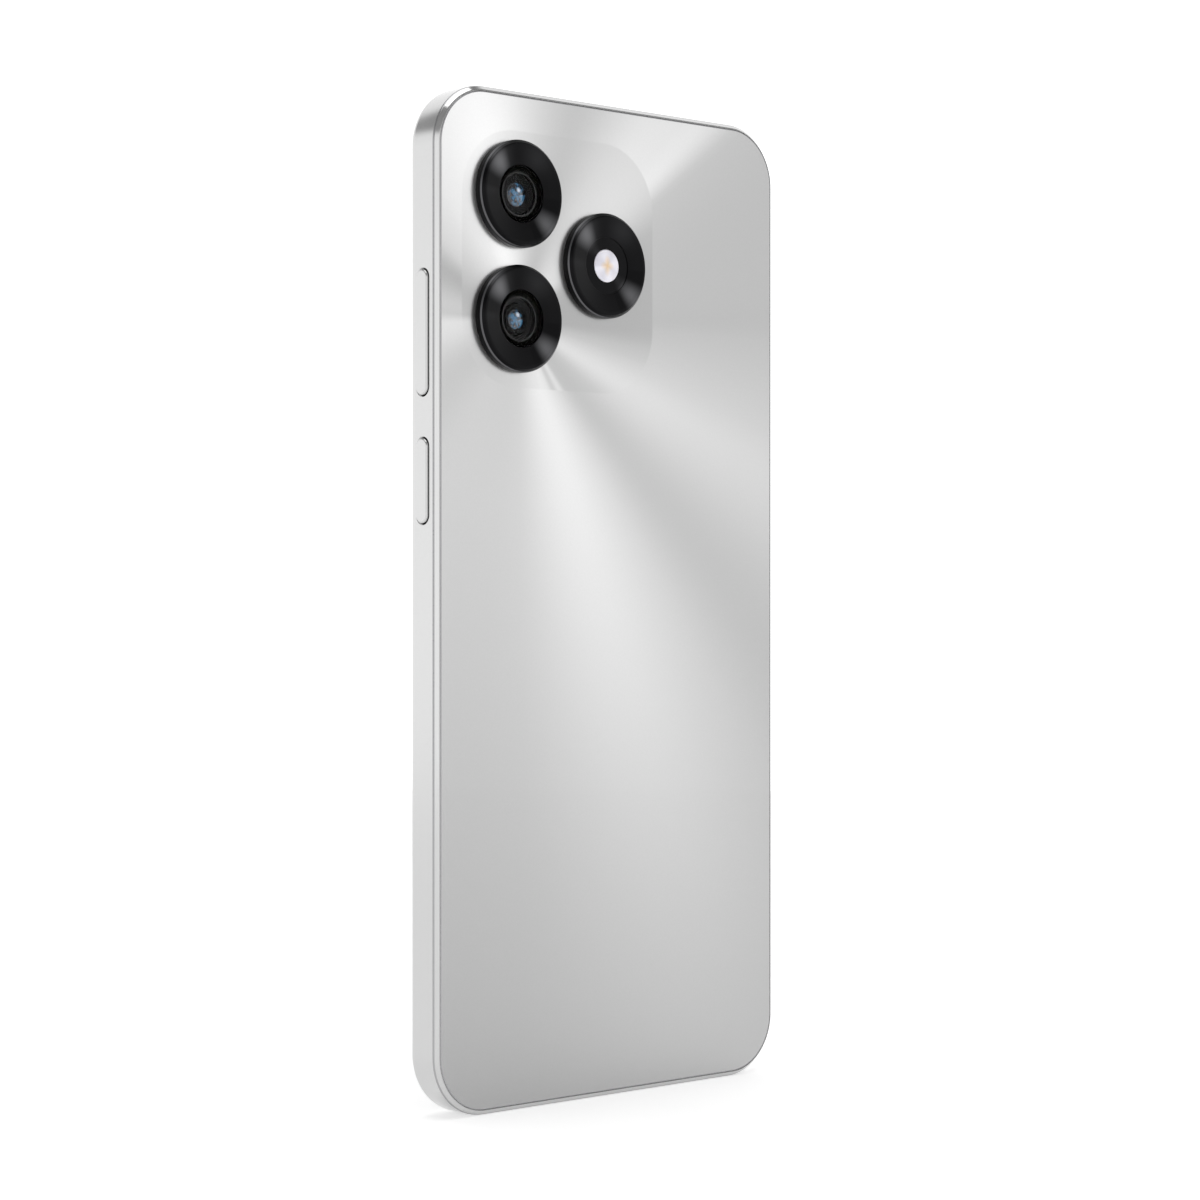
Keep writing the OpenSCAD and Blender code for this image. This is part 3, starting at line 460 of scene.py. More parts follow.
def flash_diffuser(centre, colour):
    """Moulded diffuser over a phosphor light: milky lilac plastic with fine rings, and the yellow of the
    phosphor showing through as a soft cross. Alternate facets round it are painted grey as shade."""
    made, tree, shader, place = blank("moulded_flash_diffuser", Roughness=0.3, Coat_Weight=0.6,
                                      Coat_Roughness=0.08, Subsurface_Weight=0.25)
    shader.inputs["Subsurface Radius"].default_value = (1.0, 0.9, 0.8)
    shader.inputs["Subsurface Scale"].default_value = 0.4 * MM
    about = add(tree, "Mapping", {"Vector": place, "Scale": (1 / MM, 0, 1 / MM),
                                  "Location": (-centre[0] / MM, 0, -centre[1] / MM)})
    arms = []
    for half_x, half_z in ((0.5, 1.1), (0.95, 0.5)):
        stretched = add(tree, "VectorMath", {0: about.outputs[0], 1: (1 / half_x, 0, 1 / half_z)},
                        operation="MULTIPLY")
        length = add(tree, "VectorMath", {0: stretched.outputs[0]}, operation="LENGTH")
        arms.append(add(tree, "MapRange", {"Value": length.outputs["Value"], "From Min": 0.1, "From Max": 1.7,
                                           "To Min": 0.75, "To Max": 0.0}).outputs[0])
    cross = add(tree, "Math", {0: arms[0], 1: arms[1]}, operation="MAXIMUM")
    turn, _ = polar(tree, place, centre)
    # painted shade: every other one of eight facets is painted a darker grey
    painted_facet_shade = ramp(tree, turn, turns(*[(30 + 45 * i, 0.92 if i % 2 else 0.62) for i in range(8)]))
    milk = add(tree, "Mix", {0: painted_facet_shade, 6: linear("#A9A6B2"), 7: colour}, data_type="RGBA")
    tint = add(tree, "Mix", {0: cross.outputs[0], 6: milk.outputs[2], 7: linear("#E2B765")}, data_type="RGBA")
    distance = add(tree, "VectorMath", {0: about.outputs[0]}, operation="LENGTH")
    circles = add(tree, "Math", {0: add(tree, "Math", {0: distance.outputs["Value"], 1: 2 * math.pi / 0.3},
                                        operation="MULTIPLY").outputs[0]}, operation="SINE")
    bump = add(tree, "Bump", {"Height": circles.outputs[0], "Strength": 0.4, "Distance": 0.03 * MM})
    feed(tree, tint.outputs[2], shader, "Base Color")
    feed(tree, bump.outputs[0], shader, "Normal")
    return made


def clear_glass(name, tint, index):
    """Polished toughened glass: clear, with a faint ripple from polishing. A low index stands for glass
    whose coating takes most of its gloss."""
    made, tree, shader, place = blank(name, Transmission_Weight=1.0, Roughness=0.0, IOR=index)
    noise = add(tree, "TexNoise", {"Vector": place, "Scale": 1 / (14 * MM), "Detail": 1.0})
    colour = add(tree, "Mix", {0: noise.outputs[0], 6: linear(tint), 7: linear("#FFFFFF")}, data_type="RGBA")
    feed(tree, colour.outputs[2], shader, "Base Color")
    return made


# ---- settings -------------------------------------------------------------------------

class PhoneSizes(bpy.types.PropertyGroup):
    """Sizes of the finishing detail"""
    edge_softness: length_prop("Edge softness", 0.2, "How far the frame's machined edges are rounded")
    cover_softness: length_prop("Cover softness", 0.24, "How far the back glass's edge is rounded")
    window_flare: length_prop("Hole flare", 0.14, "Width of the polished flare at the mouth of each hole")
    key_softness: length_prop("Key softness", 0.3, "How far the keys' edges are rounded")


class PhoneColours(bpy.types.PropertyGroup):
    """Colours of the visible finishes"""
    frame: colour_prop("Frame", "#C4C4C4", "Satin aluminium of the side frame and keys")
    back: colour_prop("Back", "#BEBEBE", "Silver film under the back glass")
    ring: colour_prop("Rings", "#151516", "Black anodised camera rings")
    # the lens colour is the painted blue reflection on the lenses
    lens: colour_prop("Lens coating", "#2C6C94", "Blue reflection of the coated lenses")
    flash: colour_prop("Flash", "#F0EEF6", "Milky plastic over the flash")


class StudioSettings(bpy.types.PropertyGroup):
    """Camera and light of the stage"""
    focal_length: FloatProperty(name="Focal length", description="Lens, in millimetres on a 36 mm sensor",
                                default=85.26, min=20, max=300)
    overhead: FloatProperty(name="Overhead light", description="Power of the soft light above", default=8,
                            min=0, unit="POWER")
    surround: FloatProperty(name="Surround", description="Strength of the soft white surround",
                            default=1.4, min=0)
    floor_glow: FloatProperty(name="Floor glow", description="Light that comes through the paper",
                              default=0.45, min=0)


# ---- pieces ---------------------------------------------------------------------------

def body_outline(steps=32):
    """Path round the body: its corners' centres come from the frame's box and their 10 mm radius."""
    radius = 10 * MM
    size, middle = size_of("side_frame"), middle_of("side_frame")
    return outline(size.x / 2 - radius, size.z / 2 - radius, (middle.x, middle.z), steps), radius


class PHONE_OT_frame(bpy.types.Operator):
    """Builds the aluminium frame with its holes and key windows"""
    bl_idname = "phone.frame"
    bl_label = "Frame"

    def execute(self, context):
        sizes, colours = context.scene.phone_sizes, context.scene.phone_colours
        path, radius = body_outline()
        soft = sizes.edge_softness / MM
        # section as (inset from the flat side, depth) in mm: rounded front, cut back edge, two ledges
        arc = np.radians(np.linspace(180, 262, 12))
        front = np.stack([1.9 + 1.9 * np.cos(arc), -1.6 + 1.9 * np.sin(arc)], 1)
        back = [(0.0, 3.05), (0.7, 3.75), (0.8, 3.75), (0.8, 3.05), (2.2, 3.05), (2.2, -1.1), (3.1, -1.1),
                (3.1, -2.95), (1.9, -2.95), (1.9, -3.5)]
        section = np.concatenate([front[::-1], back])
        cuts = [0] * len(front) + [soft, soft * 0.6, 0.02, 0, 0, 0, 0, 0, 0, 0.1]
        section = softened(section, cuts)
        on_cut_edge = (section[:, 0] + 3.05 - section[:, 1] < 0.02) & (section[:, 1] > 3.0)
        strips = (on_cut_edge & np.roll(on_cut_edge, -1)).astype(int)
        # painted shade: the rounded bend between the side and the cut edge gets a darker finish, a dark line
        # along it
        in_bend = np.hypot(section[:, 0], section[:, 1] - 3.05) < soft * 1.01
        strips[in_bend & np.roll(in_bend, -1)] = 2
        section = np.stack([radius / MM - section[:, 0], section[:, 1]], 1) * MM
        satin = satin_aluminium("blasted_anodised_aluminium", colours.frame)
        bright = cut_aluminium("diamond_cut_aluminium")
        # painted shade: darker silver for the dark line along the bend
        bend = grained("edge_bend_painted_shade", "#9C9C9D", "#A8A8A9", 0.2, 0.001, (0.25, 0.35), Metallic=1.0)
        made = piece("aluminium_frame", shell(carried(path, section), loop=True, finish=strips),
                     materials=(satin, bright, bend))
        flare = sizes.window_flare
        cut(made, *self.key_windows(flare), *self.bottom_holes(flare), self.tray_mouth(0.5 * flare))
        cut(made, *self.inner_rooms())
        joined(made, "phone", "silver_frame", "side_frame")
        return {"FINISHED"}

    def key_windows(self, flare):
        """Cutters for the two key windows, each with a wider room for its key's flange."""
        for key, room in (("volume_rocker", 0.35), ("power_button", 0.05)):
            low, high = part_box(key)
            middle, face = (low + high) / 2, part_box("side_frame")[1].x
            gap, more = 0.15 * MM, 0.45 * MM
            cap_r = (high.y - low.y) / 2 - more
            half = (high.z - low.z) / 2 - more - cap_r
            reach = cap_r + gap
            step = 36.2 * MM + room * MM
            section = [(reach + more, KEY_ROOM), (reach + more, step), (reach, step), (reach, face - flare),
                       (reach + flare, face), (reach + flare, face + MM)]
            yield shell(carried(outline(0, half, (middle.y, middle.z), 16), section, SIDEWAYS),
                        finish=[0, 0, 0, 1, 1])

    def bottom_holes(self, flare):
        """Cutters for the port, the jack, the two microphones and the seven sound holes."""
        low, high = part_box("usb_shell")
        r = (high.y - low.y) / 2 + 0.05 * MM
        yield slot_hole(0, 0, (high.x - low.x) / 2 + 0.05 * MM - r, 0, r, 6 * MM, 0, 1.5 * flare, UPRIGHT)
        jack = middle_of("headphone_jack")
        yield slot_hole(jack.x, jack.y, 0, 0, 1.9 * MM, 2.6 * MM, 0, 1.5 * flare, UPRIGHT)
        yield slot_hole(-13.5 * MM, 0.15 * MM, 0, 0, 0.5 * MM, 6 * MM, 0, flare, UPRIGHT)
        top = size_of("side_frame").z
        yield slot_hole(-13.5 * MM, -0.1 * MM, 0, 0, 0.5 * MM, top - 6 * MM, top, flare, UPRIGHT)
        for i in range(7):
            yield slot_hole((11 + 2.6 * i) * MM, 0.6 * MM, 0, 0, 0.75 * MM, 6 * MM, 0, flare, UPRIGHT)

    def tray_mouth(self, flare):
        """Cutter for the slot that the card tray slides out of."""
        tray = middle_of("sim_tray")
        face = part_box("side_frame")[0].x
        return slot_hole(-0.35 * MM, tray.z, 0, 6.6 * MM, 1.1 * MM, face + 1.3 * MM, face, flare, SIDEWAYS)

    def inner_rooms(self):
        """Straight-sided rooms behind the mouths: tray body, eject rod, headphone jack, earpiece slit."""
        tray, rod, jack = middle_of("sim_tray"), middle_of("eject_rod"), middle_of("headphone_jack")
        top = size_of("side_frame").z
        corner = 0.1 * MM
        for u, v, half_u, half_v, low, high, axes in (
                (-0.35, tray.z / MM, 0.95, 5.85, -37.0, -34.0, SIDEWAYS),
                (-0.35, rod.z / MM, 0.5, 0.5, -37.0, -34.0, SIDEWAYS),
                (jack.x / MM, 0.65, 3.3, 2.5, 2.2, 6.0, UPRIGHT),
                (0, -2.3, 6.0, 1.3, top / MM - 5, top / MM - 1.6, UPRIGHT)):
            path = outline(half_u * MM - corner, half_v * MM - corner, (u * MM, v * MM), 3)
            yield shell(carried(path, [(corner, low * MM), (corner, high * MM)], axes))


def satin_aluminium(name, colour):
    """Bead-blasted, anodised aluminium: an even satin silver with a fine sparkle. Its grit is 0.1 mm and is
    drawn at 0.3 mm so that it shows."""
    made, tree, shader, place = blank(name, Metallic=1.0)
    grit = add(tree, "TexNoise", {"Vector": place, "Scale": 1 / (0.3 * MM), "Detail": 3.0})
    cloud = add(tree, "TexNoise", {"Vector": place, "Scale": 1 / (16 * MM), "Detail": 1.0})
    tone = add(tree, "MapRange", {"Value": grit.outputs[0], "To Min": 0.96, "To Max": 1.04})
    shade = add(tree, "VectorMath", {0: colour[:3], "Scale": tone.outputs[0]}, operation="SCALE")
    rough = add(tree, "MapRange", {"Value": cloud.outputs[0], "To Min": 0.16, "To Max": 0.22})
    bump = add(tree, "Bump", {"Height": grit.outputs[0], "Strength": 0.3, "Distance": 0.003 * MM})
    feed(tree, shade.outputs[0], shader, "Base Color")
    feed(tree, rough.outputs[0], shader, "Roughness")
    feed(tree, bump.outputs[0], shader, "Normal")
    return made


def cut_aluminium(name):
    """Aluminium edge cut bright with a diamond tool: a clean mirror with faint tool lines along it."""
    return grained(name, "#C0C0C0", "#CACACA", 0.15, 0.001, (0.1, 0.16), (1, 1, 60), Metallic=1.0)


class PHONE_OT_back(bpy.types.Operator):
    """Builds the back glass with its three ring holes"""
    bl_idname = "phone.back"
    bl_label = "Back glass"

    def execute(self, context):
        sizes, colours = context.scene.phone_sizes, context.scene.phone_colours
        path, radius = body_outline()
        low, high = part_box("back_cover")
        reach = radius - (size_of("side_frame").x - size_of("back_cover").x) / 2
        edge = np.array([(0.6, low.y), (1, low.y), (1, high.y), (0.6, high.y)]) * (reach, 1)
        section = softened(edge, [0, 0.05 * MM, sizes.cover_softness, 0])
        inner = sizes.cover_softness * 1.01
        ground = (section[:, 0] > reach - inner) & (section[:, 1] > high.y - inner)
        strips = (ground[:-1] & ground[1:]).astype(int)
        rim = grained("ground_glass_rim", "#9A9A9C", "#A6A6A8", 0.3, 0.001, (0.1, 0.2), Metallic=0.6,
                      Specular_IOR_Level=0.6, Coat_Weight=1.0, Coat_Roughness=0.05)
        made = piece("back_glass", shell(carried(path, section), finish=strips),
                     materials=(silver_film_painted_sheen(colours.back), rim))
        holes = []
        for ring in ("upper_camera_ring", "lower_camera_ring", "flash_ring"):
            centre, r = middle_of(ring), size_of(ring).x / 2 - 0.6 * MM
            holes.append(shell(carried(outline(0, 0, (centre.x, centre.z), 32),
                                       [(r, low.y - MM), (r, high.y + MM)])))
        cut(made, *holes)
        joined(made, "phone", "back_panel", "back_cover")
        return {"FINISHED"}


class PHONE_OT_screen(bpy.types.Operator):
    """Builds the screen glass with its printed border"""
    bl_idname = "phone.screen"
    bl_label = "Screen"

    def execute(self, context):
        path, radius = body_outline()
        low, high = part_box("front_glass")
        reach = radius - (size_of("side_frame").x - size_of("front_glass").x) / 2
        # front face, rounded edge, printed border on the back face, clear window inside it
        border = reach - 3.0 * MM
        section = [(reach - 3 * MM, low.y), (reach, low.y), (reach, high.y), (border, high.y),
                   (border - 1.5 * MM, high.y)]
        section = softened(section, [0, 0.45 * MM, 0.05 * MM, 0, 0])
        printed = (section[:, 1] > high.y - 1e-7) & (section[:, 0] > border + 1e-7)
        strips = printed[:-1].astype(int)
        made = piece("screen_glass", shell(carried(path, section), finish=strips),
                     materials=(clear_glass("polished_screen_glass", "#F4F6F8", 1.5),
                                grained("black_border_ink", "#050505", "#0A0A0B", 0.2, 0, (0.4, 0.5))))
        joined(made, "phone", "screen_glass", "front_glass")
        return {"FINISHED"}


class PHONE_OT_rings(bpy.types.Operator):
    """Turns the three black rings and sets their windows"""
    bl_idname = "phone.rings"
    bl_label = "Camera rings"

    def execute(self, context):
        colours = context.scene.phone_colours
        glass = clear_glass("coated_camera_glass", "#F2F4F6", 1.1)
        ink = grained("black_window_ink", "#030303", "#070708", 0.2, 0, (0.35, 0.45))
        for name, node in (("upper_ring", "upper_camera_ring"), ("lower_ring", "lower_camera_ring"),
                           ("flash_collar", "flash_ring")):
            centre = middle_of(node)
            black = spun_black_ring("spun_black_aluminium_painted_fans_" + name.split("_")[0], (centre.x, centre.z),
                                    size_of(node).x / 2 / MM - 0.12, colours.ring)
            section, cuts = self.section(node)
            section = softened(section, cuts, 6) * MM
            path = outline(0, 0, (centre.x, centre.z), 40)
            made = piece(name, shell(carried(path, section), loop=True), materials=(black,))
            joined(made, "phone", "black_ring", node)
        for name, node in (("upper_window", "upper_lens_glass"), ("lower_window", "lower_lens_glass")):
            centre, (low, high) = middle_of(node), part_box(node)
            r = (high.x - low.x) / 2
            section = softened([(r - 1.2 * MM, low.y), (r, low.y), (r, high.y), (r - 1.2 * MM, high.y)],
                               [0, 0.02 * MM, 0.1 * MM, 0])
            strips = (section[:-1, 1] < low.y + 1e-7).astype(int)
            rings = carried(outline(0, 0, (centre.x, centre.z), 24), section)
            points, faces, paint = shell(rings, finish=strips)
            paint[-2] = 0               # the middle of the inner face stays clear
            made = piece(name, (points, faces, paint), materials=(glass, ink))
            joined(made, "phone", "lens", node)
        return {"FINISHED"}

    def section(self, node):
        """Ring section as (radius, depth) in mm: spigot in the cover, wall, broken edge, flat rim, and a
        dished face that runs down to the window's seat."""
        low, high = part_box(node)
        top, bottom = high.y / MM, low.y / MM
        wide = (high.x - low.x) / 2 / MM
        bore, floor = (2.75, 4.85) if node == "flash_ring" else (3.6, 4.3)
        corners = [(bore, bottom), (wide - 0.65, bottom), (wide - 0.65, 3.81), (wide, 3.81),
                   (wide, top - 0.6), (wide - 0.55, top), (wide - 0.95, top), (4.65, 4.97), (4.65, floor),
                   (bore, floor)]
        return corners, [0, 0, 0, 0.03, 0.12, 0.12, 0.15, 0.05, 0, 0.02]


class PHONE_OT_lenses(bpy.types.Operator):
    """Turns the stepped baffles and the coated lenses behind the windows, and the flash diffuser"""
    bl_idname = "phone.lenses"
    bl_label = "Lenses"

    def execute(self, context):
        colours = context.scene.phone_colours
        plastic = grained("moulded_black_baffle", "#030303", "#070708", 0.15, 0.004, (0.45, 0.6),
                          Specular_IOR_Level=0.12)
        for name, node, body, wide, low, high, reach in (
                ("upper", "lens_barrel", "lens_barrel", 3.2, 0.0, 4.0, 1.9),
                ("lower", "second_camera", "phone", 2.4, 2.6, 3.8, 1.55)):
            centre = middle_of(node)
            steps = np.arange(5)
            well = np.stack([np.repeat(wide - 0.35 - steps * (wide - 0.35 - reach) / 4, 2)[1:],
                             np.repeat(high - 0.1 - steps * 0.16, 2)[:-1]], 1)
            section = np.concatenate([[(reach, low), (wide, low), (wide, high - 0.1), (wide - 0.2, high)],
                                      [(wide - 0.35, high)], well, [(reach, high - 1.1)]])
            path = outline(0, 0, (centre.x, centre.z), 24)
            shells = [shell(carried(path, section * MM), loop=True)]
            if node == "second_camera":
                corner = 0.4 * MM
                block = outline(3.5 * MM - corner, 3.5 * MM - corner, (centre.x, centre.z), 4)
                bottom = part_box(node)[0].y
                shells.append(shell(carried(block, [(corner, bottom), (corner, 2.6 * MM)])))
            made = piece(name + "_baffle", *shells, materials=(plastic,))
            joined(made, body, "black_plastic", node)
            # domed lens: height = top - r^2 / (2 * curvature)
            r = np.linspace(0.04, reach + 0.02, 14)
            dome = np.stack([r, high - 0.2 - r * r / (2 * 4.5)], 1)
            base = [(reach + 0.02, high - 1.3), (0.04, high - 1.3)]
            coat = coated_lens("coated_lens_glass_" + name, (centre.x, centre.z), linear("#05070B"),
                               colours.lens)
            made = piece(name + "_lens", shell(carried(path, np.concatenate([dome, base]) * MM)),
                         materials=(coat,))
            joined(made, body, "lens")
        self.front(plastic, colours.lens)
        self.flash(colours.flash)
        return {"FINISHED"}

    def front(self, plastic, blue):
        """Front camera: a block, a cup with one step, and a small domed lens that looks out through the
        screen. Heights are depths behind the screen's side, so every height is turned to face it."""
        centre, (low, high) = middle_of("front_camera"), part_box("front_camera")
        face, back, half = -low.y / MM, -high.y / MM, (high.x - low.x) / 2 / MM
        corner = 0.3
        block = outline((half - corner) * MM, (half - corner) * MM, (centre.x, centre.z), 4)
        path = outline(0, 0, (centre.x, centre.z), 24)
        cup = [(0.9, face - 1.0), (1.9, face - 1.0), (1.9, face - 0.1), (1.8, face), (1.35, face),
               (1.25, face - 0.25), (1.0, face - 0.25), (0.9, face - 0.4)]
        r = np.linspace(0.04, 0.98, 10)
        dome = [*np.stack([r, face - 0.28 - r * r / 4], 1), (0.98, face - 0.9), (0.04, face - 0.9)]
        facing = np.array([MM, -MM])
        made = piece("front_camera_cup", shell(carried(path, cup * facing), loop=True),
                     shell(carried(block, [(corner * MM, -back * MM), (corner * MM, -(face - 0.6) * MM)])),
                     materials=(plastic,))
        joined(made, "phone", "black_plastic", "front_camera")
        coat = coated_lens("coated_lens_glass_front", (centre.x, centre.z), linear("#05070B"), blue)
        joined(piece("front_lens", shell(carried(path, np.array(dome) * facing)), materials=(coat,)),
               "phone", "lens")

    def flash(self, colour):
        """Flash diffuser: a low crown on a stepped foot."""
        centre, (low, high) = middle_of("flash_lens"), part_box("flash_lens")
        top, r = high.y / MM, 2.7
        along = np.linspace(0, 1, 16)
        # crown: height = top - 0.22 * (radius / edge)^3
        crown = np.stack([0.05 + (r - 0.1) * along, top - 0.22 * along ** 3], 1)
        section = np.concatenate([crown, [(r, top - 0.3), (r, 3.16), (1.9, 3.16), (1.6, 3.6), (0.05, 3.6)]])
        made = piece("flash_dome", shell(carried(outline(0, 0, (centre.x, centre.z), 20), section * MM)),
                     materials=(flash_diffuser((centre.x, centre.z), colour),))
        joined(made, "phone", "flash_diffuser", "flash_lens")


class PHONE_OT_keys(bpy.types.Operator):
    """Builds the two side keys with soft caps"""
    bl_idname = "phone.keys"
    bl_label = "Keys"

    def execute(self, context):
        sizes, colours = context.scene.phone_sizes, context.scene.phone_colours
        satin = satin_aluminium("blasted_aluminium_keys", colours.frame)
        for name, node, body in (("volume_key", "volume_rocker", "volume_rocker"),
                                 ("power_key", "power_button", "power_button")):
            low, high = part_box(node)
            middle, more = (low + high) / 2, 0.45 * MM
            cap_r = (high.y - low.y) / 2 - more
            half = (high.z - low.z) / 2 - more - cap_r
            face = high.x
            section = softened([(cap_r * 0.3, KEY_FLANGE), (cap_r + more, KEY_FLANGE),
                                (cap_r + more, KEY_STEP), (cap_r, KEY_STEP), (cap_r, face),
                                (cap_r * 0.3, face)],
                               [0, 0.05 * MM, 0.05 * MM, 0, sizes.key_softness, 0], 7)
            path = outline(0, half, (middle.y, middle.z), 20)
            shells = [shell(carried(path, section, SIDEWAYS))]
            nubs = (-6, 6) if node == "volume_rocker" else (0,)
            for nub in nubs:
                path = outline(0, 0, (middle.y, middle.z + nub * MM), 8)
                section = [(0.6 * MM, KEY_NUB), (0.6 * MM, KEY_FLANGE + 0.1 * MM)]
                shells.append(shell(carried(path, section, SIDEWAYS)))
            if node == "volume_rocker":
                # round nose that the rocker tips on, with its axis along Y
                nose_r, axis_x = 0.3 * MM, low.x + 0.3 * MM
                path = outline((KEY_FLANGE - axis_x) / 2, 0, ((KEY_FLANGE + axis_x) / 2, middle.z), 8)
                shells.append(shell(carried(path, [(nose_r, middle.y - MM), (nose_r, middle.y + MM)])))
            made = piece(name, *shells, materials=(satin,))
            joined(made, body, "silver_keys", node)
        return {"FINISHED"}


class PHONE_OT_port(bpy.types.Operator):
    """Sets the gold contacts on the charging port's tongue"""
    bl_idname = "phone.port"
    bl_label = "Port contacts"

    def execute(self, context):
        low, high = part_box("usb_tongue")
        pads = []
        for side, face in ((-1, low.y), (1, high.y)):
            for i in range(12):
                x = (i - 5.5) * 0.5 * MM
                path = outline(0.09 * MM, 1.9 * MM, (x, low.z + 2.2 * MM), 2)
                pads.append(shell(carried(path, [(0.04 * MM, face), (0.04 * MM, face + side * 0.03 * MM)])))
        made = piece("port_contacts", *pads,
                     materials=(grained("gold_plated_contact", "#B98A35", "#D9AE55", 0.2, 0.002, (0.2, 0.3),
                                        Metallic=1.0),))
        joined(made, "phone", "steel")
        return {"FINISHED"}


class PHONE_OT_inner(bpy.types.Operator):
    """Gives every carried-over part of the phone its own finish"""
    bl_idname = "phone.inner"
    bl_label = "Inner parts"

    def execute(self, context):
        finishes = (
            # cold-rolled steel, pressed: drawn lines along the sheet and a dull shine
            (grained("pressed_steel", "#9A9C9F", "#B9BBBE", 0.25, 0.002, (0.25, 0.4), (1, 1, 12), Metallic=1.0),
             "card_reader eject_rod eject_lever lever_pin back_shields front_shield usb_shell motor_can "
             "motor_shaft screws key_bracket dome_switches top_microphone bottom_microphone earpiece"),
            # milled aluminium of the card tray, anodised like the frame
            (satin_aluminium("blasted_aluminium_tray", context.scene.phone_colours.frame), "sim_tray"),
            # die-cast magnesium alloy: grey with a cast skin
            (grained("cast_magnesium_plate", "#77797B", "#8E9092", 0.8, 0.01, (0.45, 0.6), Metallic=0.8),
             "mid_plate"),
            # glass-cloth board under green solder resist, with fine tracks
            (grid_finish("solder_resist_board", "#12331F", "#1E5232", 0.8, 0.18, 0.015, Roughness=0.35,
                         Coat_Weight=0.4), "main_board sub_board main_camera_sensor"),
            # amber polyimide flex with copper tracks under it
            (grained("polyimide_flex", "#A8601C", "#C47A2A", 0.5, 0.003, (0.3, 0.4), (1, 1, 20),
                     Coat_Weight=0.3),
             "display_flex side_key_flex main_flex battery_lead"),
            # moulded glass-filled nylon: black with a fine moulded texture
            (grained("moulded_black_nylon", "#101011", "#1C1C1E", 0.3, 0.006, (0.4, 0.55)),
             "upper_bracket headphone_jack usb_tongue main_camera_housing light_sensor "
             "loudspeaker_box antenna_cable"),
            # closed-cell foam tape: matt black with small pores
            (grained("closed_cell_foam", "#0C0C0D", "#161617", 0.12, 0.01, (0.8, 0.95)),
             "back_adhesive display_adhesive camera_gaskets tray_seal"),
            # stretch-release tape: milky and smooth
            (grained("milky_release_tape", "#D5D7DA", "#E6E8EA", 1.5, 0.004, (0.35, 0.5)), "battery_adhesive"),
            # laminated aluminium foil pouch, wrapped dark grey
            (grained("laminated_battery_foil", "#2C2E31", "#3A3C40", 6.0, 0.03, (0.3, 0.45), Metallic=0.4),
             "battery"),
            # sintered tungsten alloy weight
            (grained("sintered_tungsten", "#5D5A55", "#75716A", 0.12, 0.006, (0.35, 0.5), Metallic=1.0),
             "motor_rotor"),
            # nickel-plated magnet
            (grained("nickel_plated_magnet", "#A7A49C", "#BDBAB2", 0.4, 0.002, (0.15, 0.25), Metallic=1.0),
             "loudspeaker_magnet"),
            # pressed polymer speaker cone
            (grained("pressed_speaker_cone", "#3A3B3D", "#4A4B4E", 0.2, 0.006, (0.5, 0.65)),
             "loudspeaker_cone"),
            # woven stainless mesh, 0.25 mm pitch
            (grid_finish("woven_steel_mesh", "#0A0A0B", "#77797C", 0.25, 0.22, 0.05, (0, 1), Metallic=0.9,
                         Roughness=0.35), "earpiece_mesh loudspeaker_mesh"),
            # display switched off: black with a faint grid of display cells, drawn at 0.4 mm
            (grid_finish("display_switched_off", "#040405", "#060708", 0.4, 0.12, 0, Roughness=0.25,
                         Specular_IOR_Level=0.1), "display_panel"),
            # yellow phosphor over the light chip
            (grained("phosphor_layer", "#D9A43A", "#E8BC57", 0.1, 0.004, (0.5, 0.6)), "flash_led"),
            # hard-coated sensor strip, tinted like the key
            (grained("hard_coated_sensor", "#8E9093", "#9C9EA1", 0.4, 0.001, (0.12, 0.2), Metallic=0.7,
                     Coat_Weight=0.8), "fingerprint_sensor"),
        )
        for material, names in finishes:
            for name in names.split():
                data = frame["nodes"][name].data
                data.materials.clear()
                data.materials.append(material)
        bare = [n for n, o in frame["nodes"].items() if not o.hide_render
                and not any(n in names.split() for _, names in finishes)]
        if bare:
            raise RuntimeError(f"these parts have no finish: {bare}")
        return {"FINISHED"}


# ---- stage ----------------------------------------------------------------------------

def pale_paper(glow):
    """Matt white paper on a light table: broad soft clouding, about 120 mm across, in two close whites."""
    made, tree, shader, place = blank("matt_white_paper", Roughness=0.9, Specular_IOR_Level=0.0)
    shader.inputs["Emission Color"].default_value = (1, 1, 1, 1)
    shader.inputs["Emission Strength"].default_value = glow
    cloud = add(tree, "TexNoise", {"Vector": place, "Scale": 1 / 0.12, "Detail": 2.0})
    tone = add(tree, "Mix", {0: cloud.outputs[0], 6: linear("#E4E4E4"), 7: linear("#EAEAEA")},
               data_type="RGBA")
    feed(tree, tone.outputs[2], shader, "Base Color")
    return made


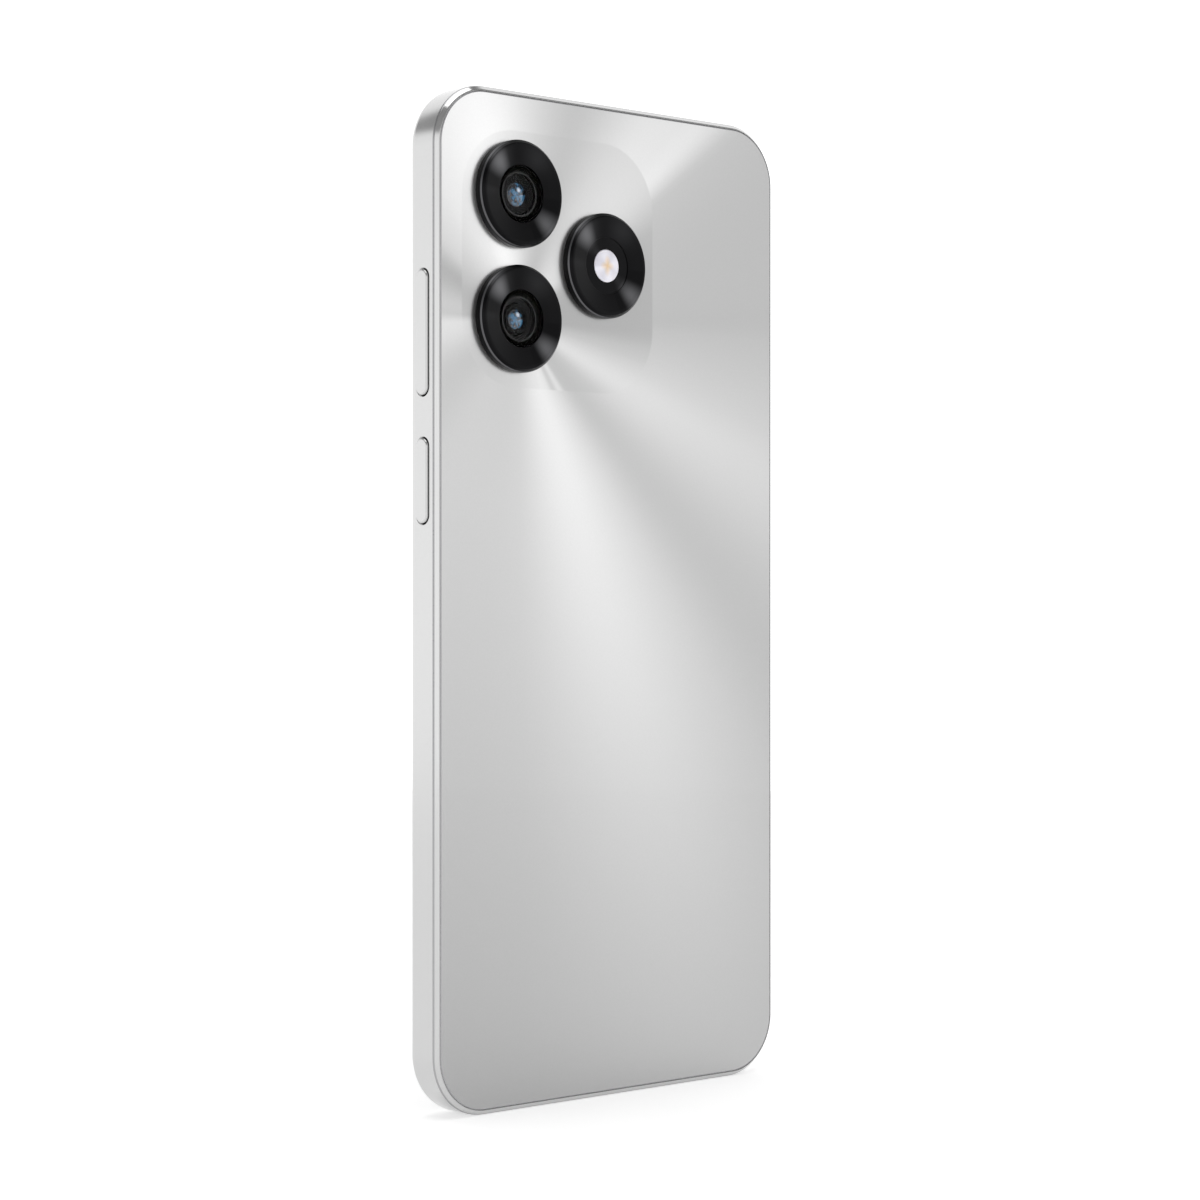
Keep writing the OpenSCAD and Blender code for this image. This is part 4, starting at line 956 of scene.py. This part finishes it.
class PHONE_OT_stage(bpy.types.Operator):
    """Sets the pale flat floor, the soft light and the camera"""
    bl_idname = "phone.stage"
    bl_label = "Stage"

    def execute(self, context):
        studio = context.scene.phone_studio
        self.floor(studio.floor_glow)
        self.sky(studio.surround)
        self.lights(studio.overhead)
        self.camera(studio.focal_length)
        context.scene.view_settings.view_transform = "Standard"
        return {"FINISHED"}

    def floor(self, glow):
        """Flat round sheet: height = 0 for every radius out to its rim."""
        radius = np.geomspace(0.002, FLOOR_RADIUS, 14)
        rings = carried(outline(0, 0, (0, 0), 24), np.stack([radius, 0 * radius], 1), UPRIGHT)
        points, faces, paint = shell(rings)
        floor = piece("pale_floor", (points, faces[:-1], paint[:-1]), materials=(pale_paper(glow),))
        up = np.array([p.normal.z for p in floor.data.polygons])
        if up.mean() < 0:
            floor.data.flip_normals()

    def sky(self, strength):
        """Soft white surround: bright up to 25 degrees and in one high panel beyond the phone, dim above,
        and softer straight out from the phone's keys (+X) and straight out from its back (+Y)."""
        world = bpy.data.worlds.new("studio")
        bpy.context.scene.world = world
        world.use_nodes = True
        tree = world.node_tree
        tree.nodes.clear()
        direction = add(tree, "TexCoord").outputs["Generated"]
        parts = add(tree, "SeparateXYZ", {0: direction})
        height = ramp(tree, parts.outputs[2], [(0.0, 1.0), (0.30, 0.9), (0.45, 0.3), (1.0, 0.22)], "EASE")
        nearest = add(tree, "Math", {0: parts.outputs[0], 1: parts.outputs[1]}, operation="MAXIMUM")
        gap = add(tree, "MapRange", {"Value": nearest.outputs[0], "From Min": 0.82, "From Max": 0.96,
                                     "To Min": 1.0, "To Max": 0.75}, interpolation_type="SMOOTHSTEP")
        walls = add(tree, "Math", {0: height, 1: gap.outputs[0]}, operation="MULTIPLY")
        beyond = add(tree, "VectorMath", {0: direction, 1: BEYOND}, operation="DOT_PRODUCT")
        panel = add(tree, "MapRange", {"Value": beyond.outputs["Value"], "From Min": 0.34, "From Max": 0.55,
                                       "To Min": 0.0, "To Max": 0.9}, interpolation_type="SMOOTHSTEP")
        light = add(tree, "Math", {0: walls.outputs[0], 1: panel.outputs[0]}, operation="MAXIMUM")
        back = add(tree, "Background", {"Color": light.outputs[0], "Strength": strength})
        add(tree, "OutputWorld", {"Surface": back.outputs[0]})

    def lights(self, power):
        """One broad round light above, a little to the side of the keys and the back."""
        light = bpy.data.lights.new("overhead", "AREA")
        light.shape, light.size, light.energy = "DISK", 1.3, power
        made = bpy.data.objects.new("overhead", light)
        made.location = (0.1, 0.1, 1.5)
        bpy.context.scene.collection.objects.link(made)

    def camera(self, focal_length):
        """Level camera, behind the phone on the side of its keys."""
        data = bpy.data.cameras.new("camera")
        data.lens, data.sensor_width = focal_length, 36
        data.clip_start, data.clip_end = 0.01, 20
        made = bpy.data.objects.new("camera", data)
        made.location = CAMERA_PLACE
        made.rotation_euler = (math.radians(90), 0, math.radians(CAMERA_TURN))
        bpy.context.scene.collection.objects.link(made)
        bpy.context.scene.camera = made


class PHONE_PT_panel(bpy.types.Panel):
    """Lists the phone's pieces and their settings"""
    bl_label = "Phone"
    bl_idname = "PHONE_PT_panel"
    bl_space_type = "VIEW_3D"
    bl_region_type = "UI"
    bl_category = "Phone"

    def draw(self, context):
        for operator in OPERATORS:
            self.layout.operator(operator.bl_idname)
        for group in ("phone_sizes", "phone_colours", "phone_studio"):
            settings = getattr(context.scene, group)
            for key in settings.__annotations__:
                self.layout.prop(settings, key)


OPERATORS = (PHONE_OT_frame, PHONE_OT_back, PHONE_OT_screen, PHONE_OT_rings, PHONE_OT_lenses, PHONE_OT_keys,
             PHONE_OT_port, PHONE_OT_inner, PHONE_OT_stage)
GROUPS = {"phone_sizes": PhoneSizes, "phone_colours": PhoneColours, "phone_studio": StudioSettings}


def register():
    """Makes the settings, the operators and the panel known to Blender."""
    for kind in (*GROUPS.values(), *OPERATORS, PHONE_PT_panel):
        bpy.utils.register_class(kind)
    for name, group in GROUPS.items():
        setattr(bpy.types.Scene, name, PointerProperty(type=group))


def unregister():
    """Takes them away again, in reverse order."""
    for name in GROUPS:
        delattr(bpy.types.Scene, name)
    for kind in reversed((*GROUPS.values(), *OPERATORS, PHONE_PT_panel)):
        bpy.utils.unregister_class(kind)


def main():
    """Builds every group of pieces, then the stage."""
    register()
    for step in ("frame", "back", "screen", "rings", "lenses", "keys", "port", "inner", "stage"):
        getattr(bpy.ops.phone, step)()


if __name__ == "__main__":
    main()
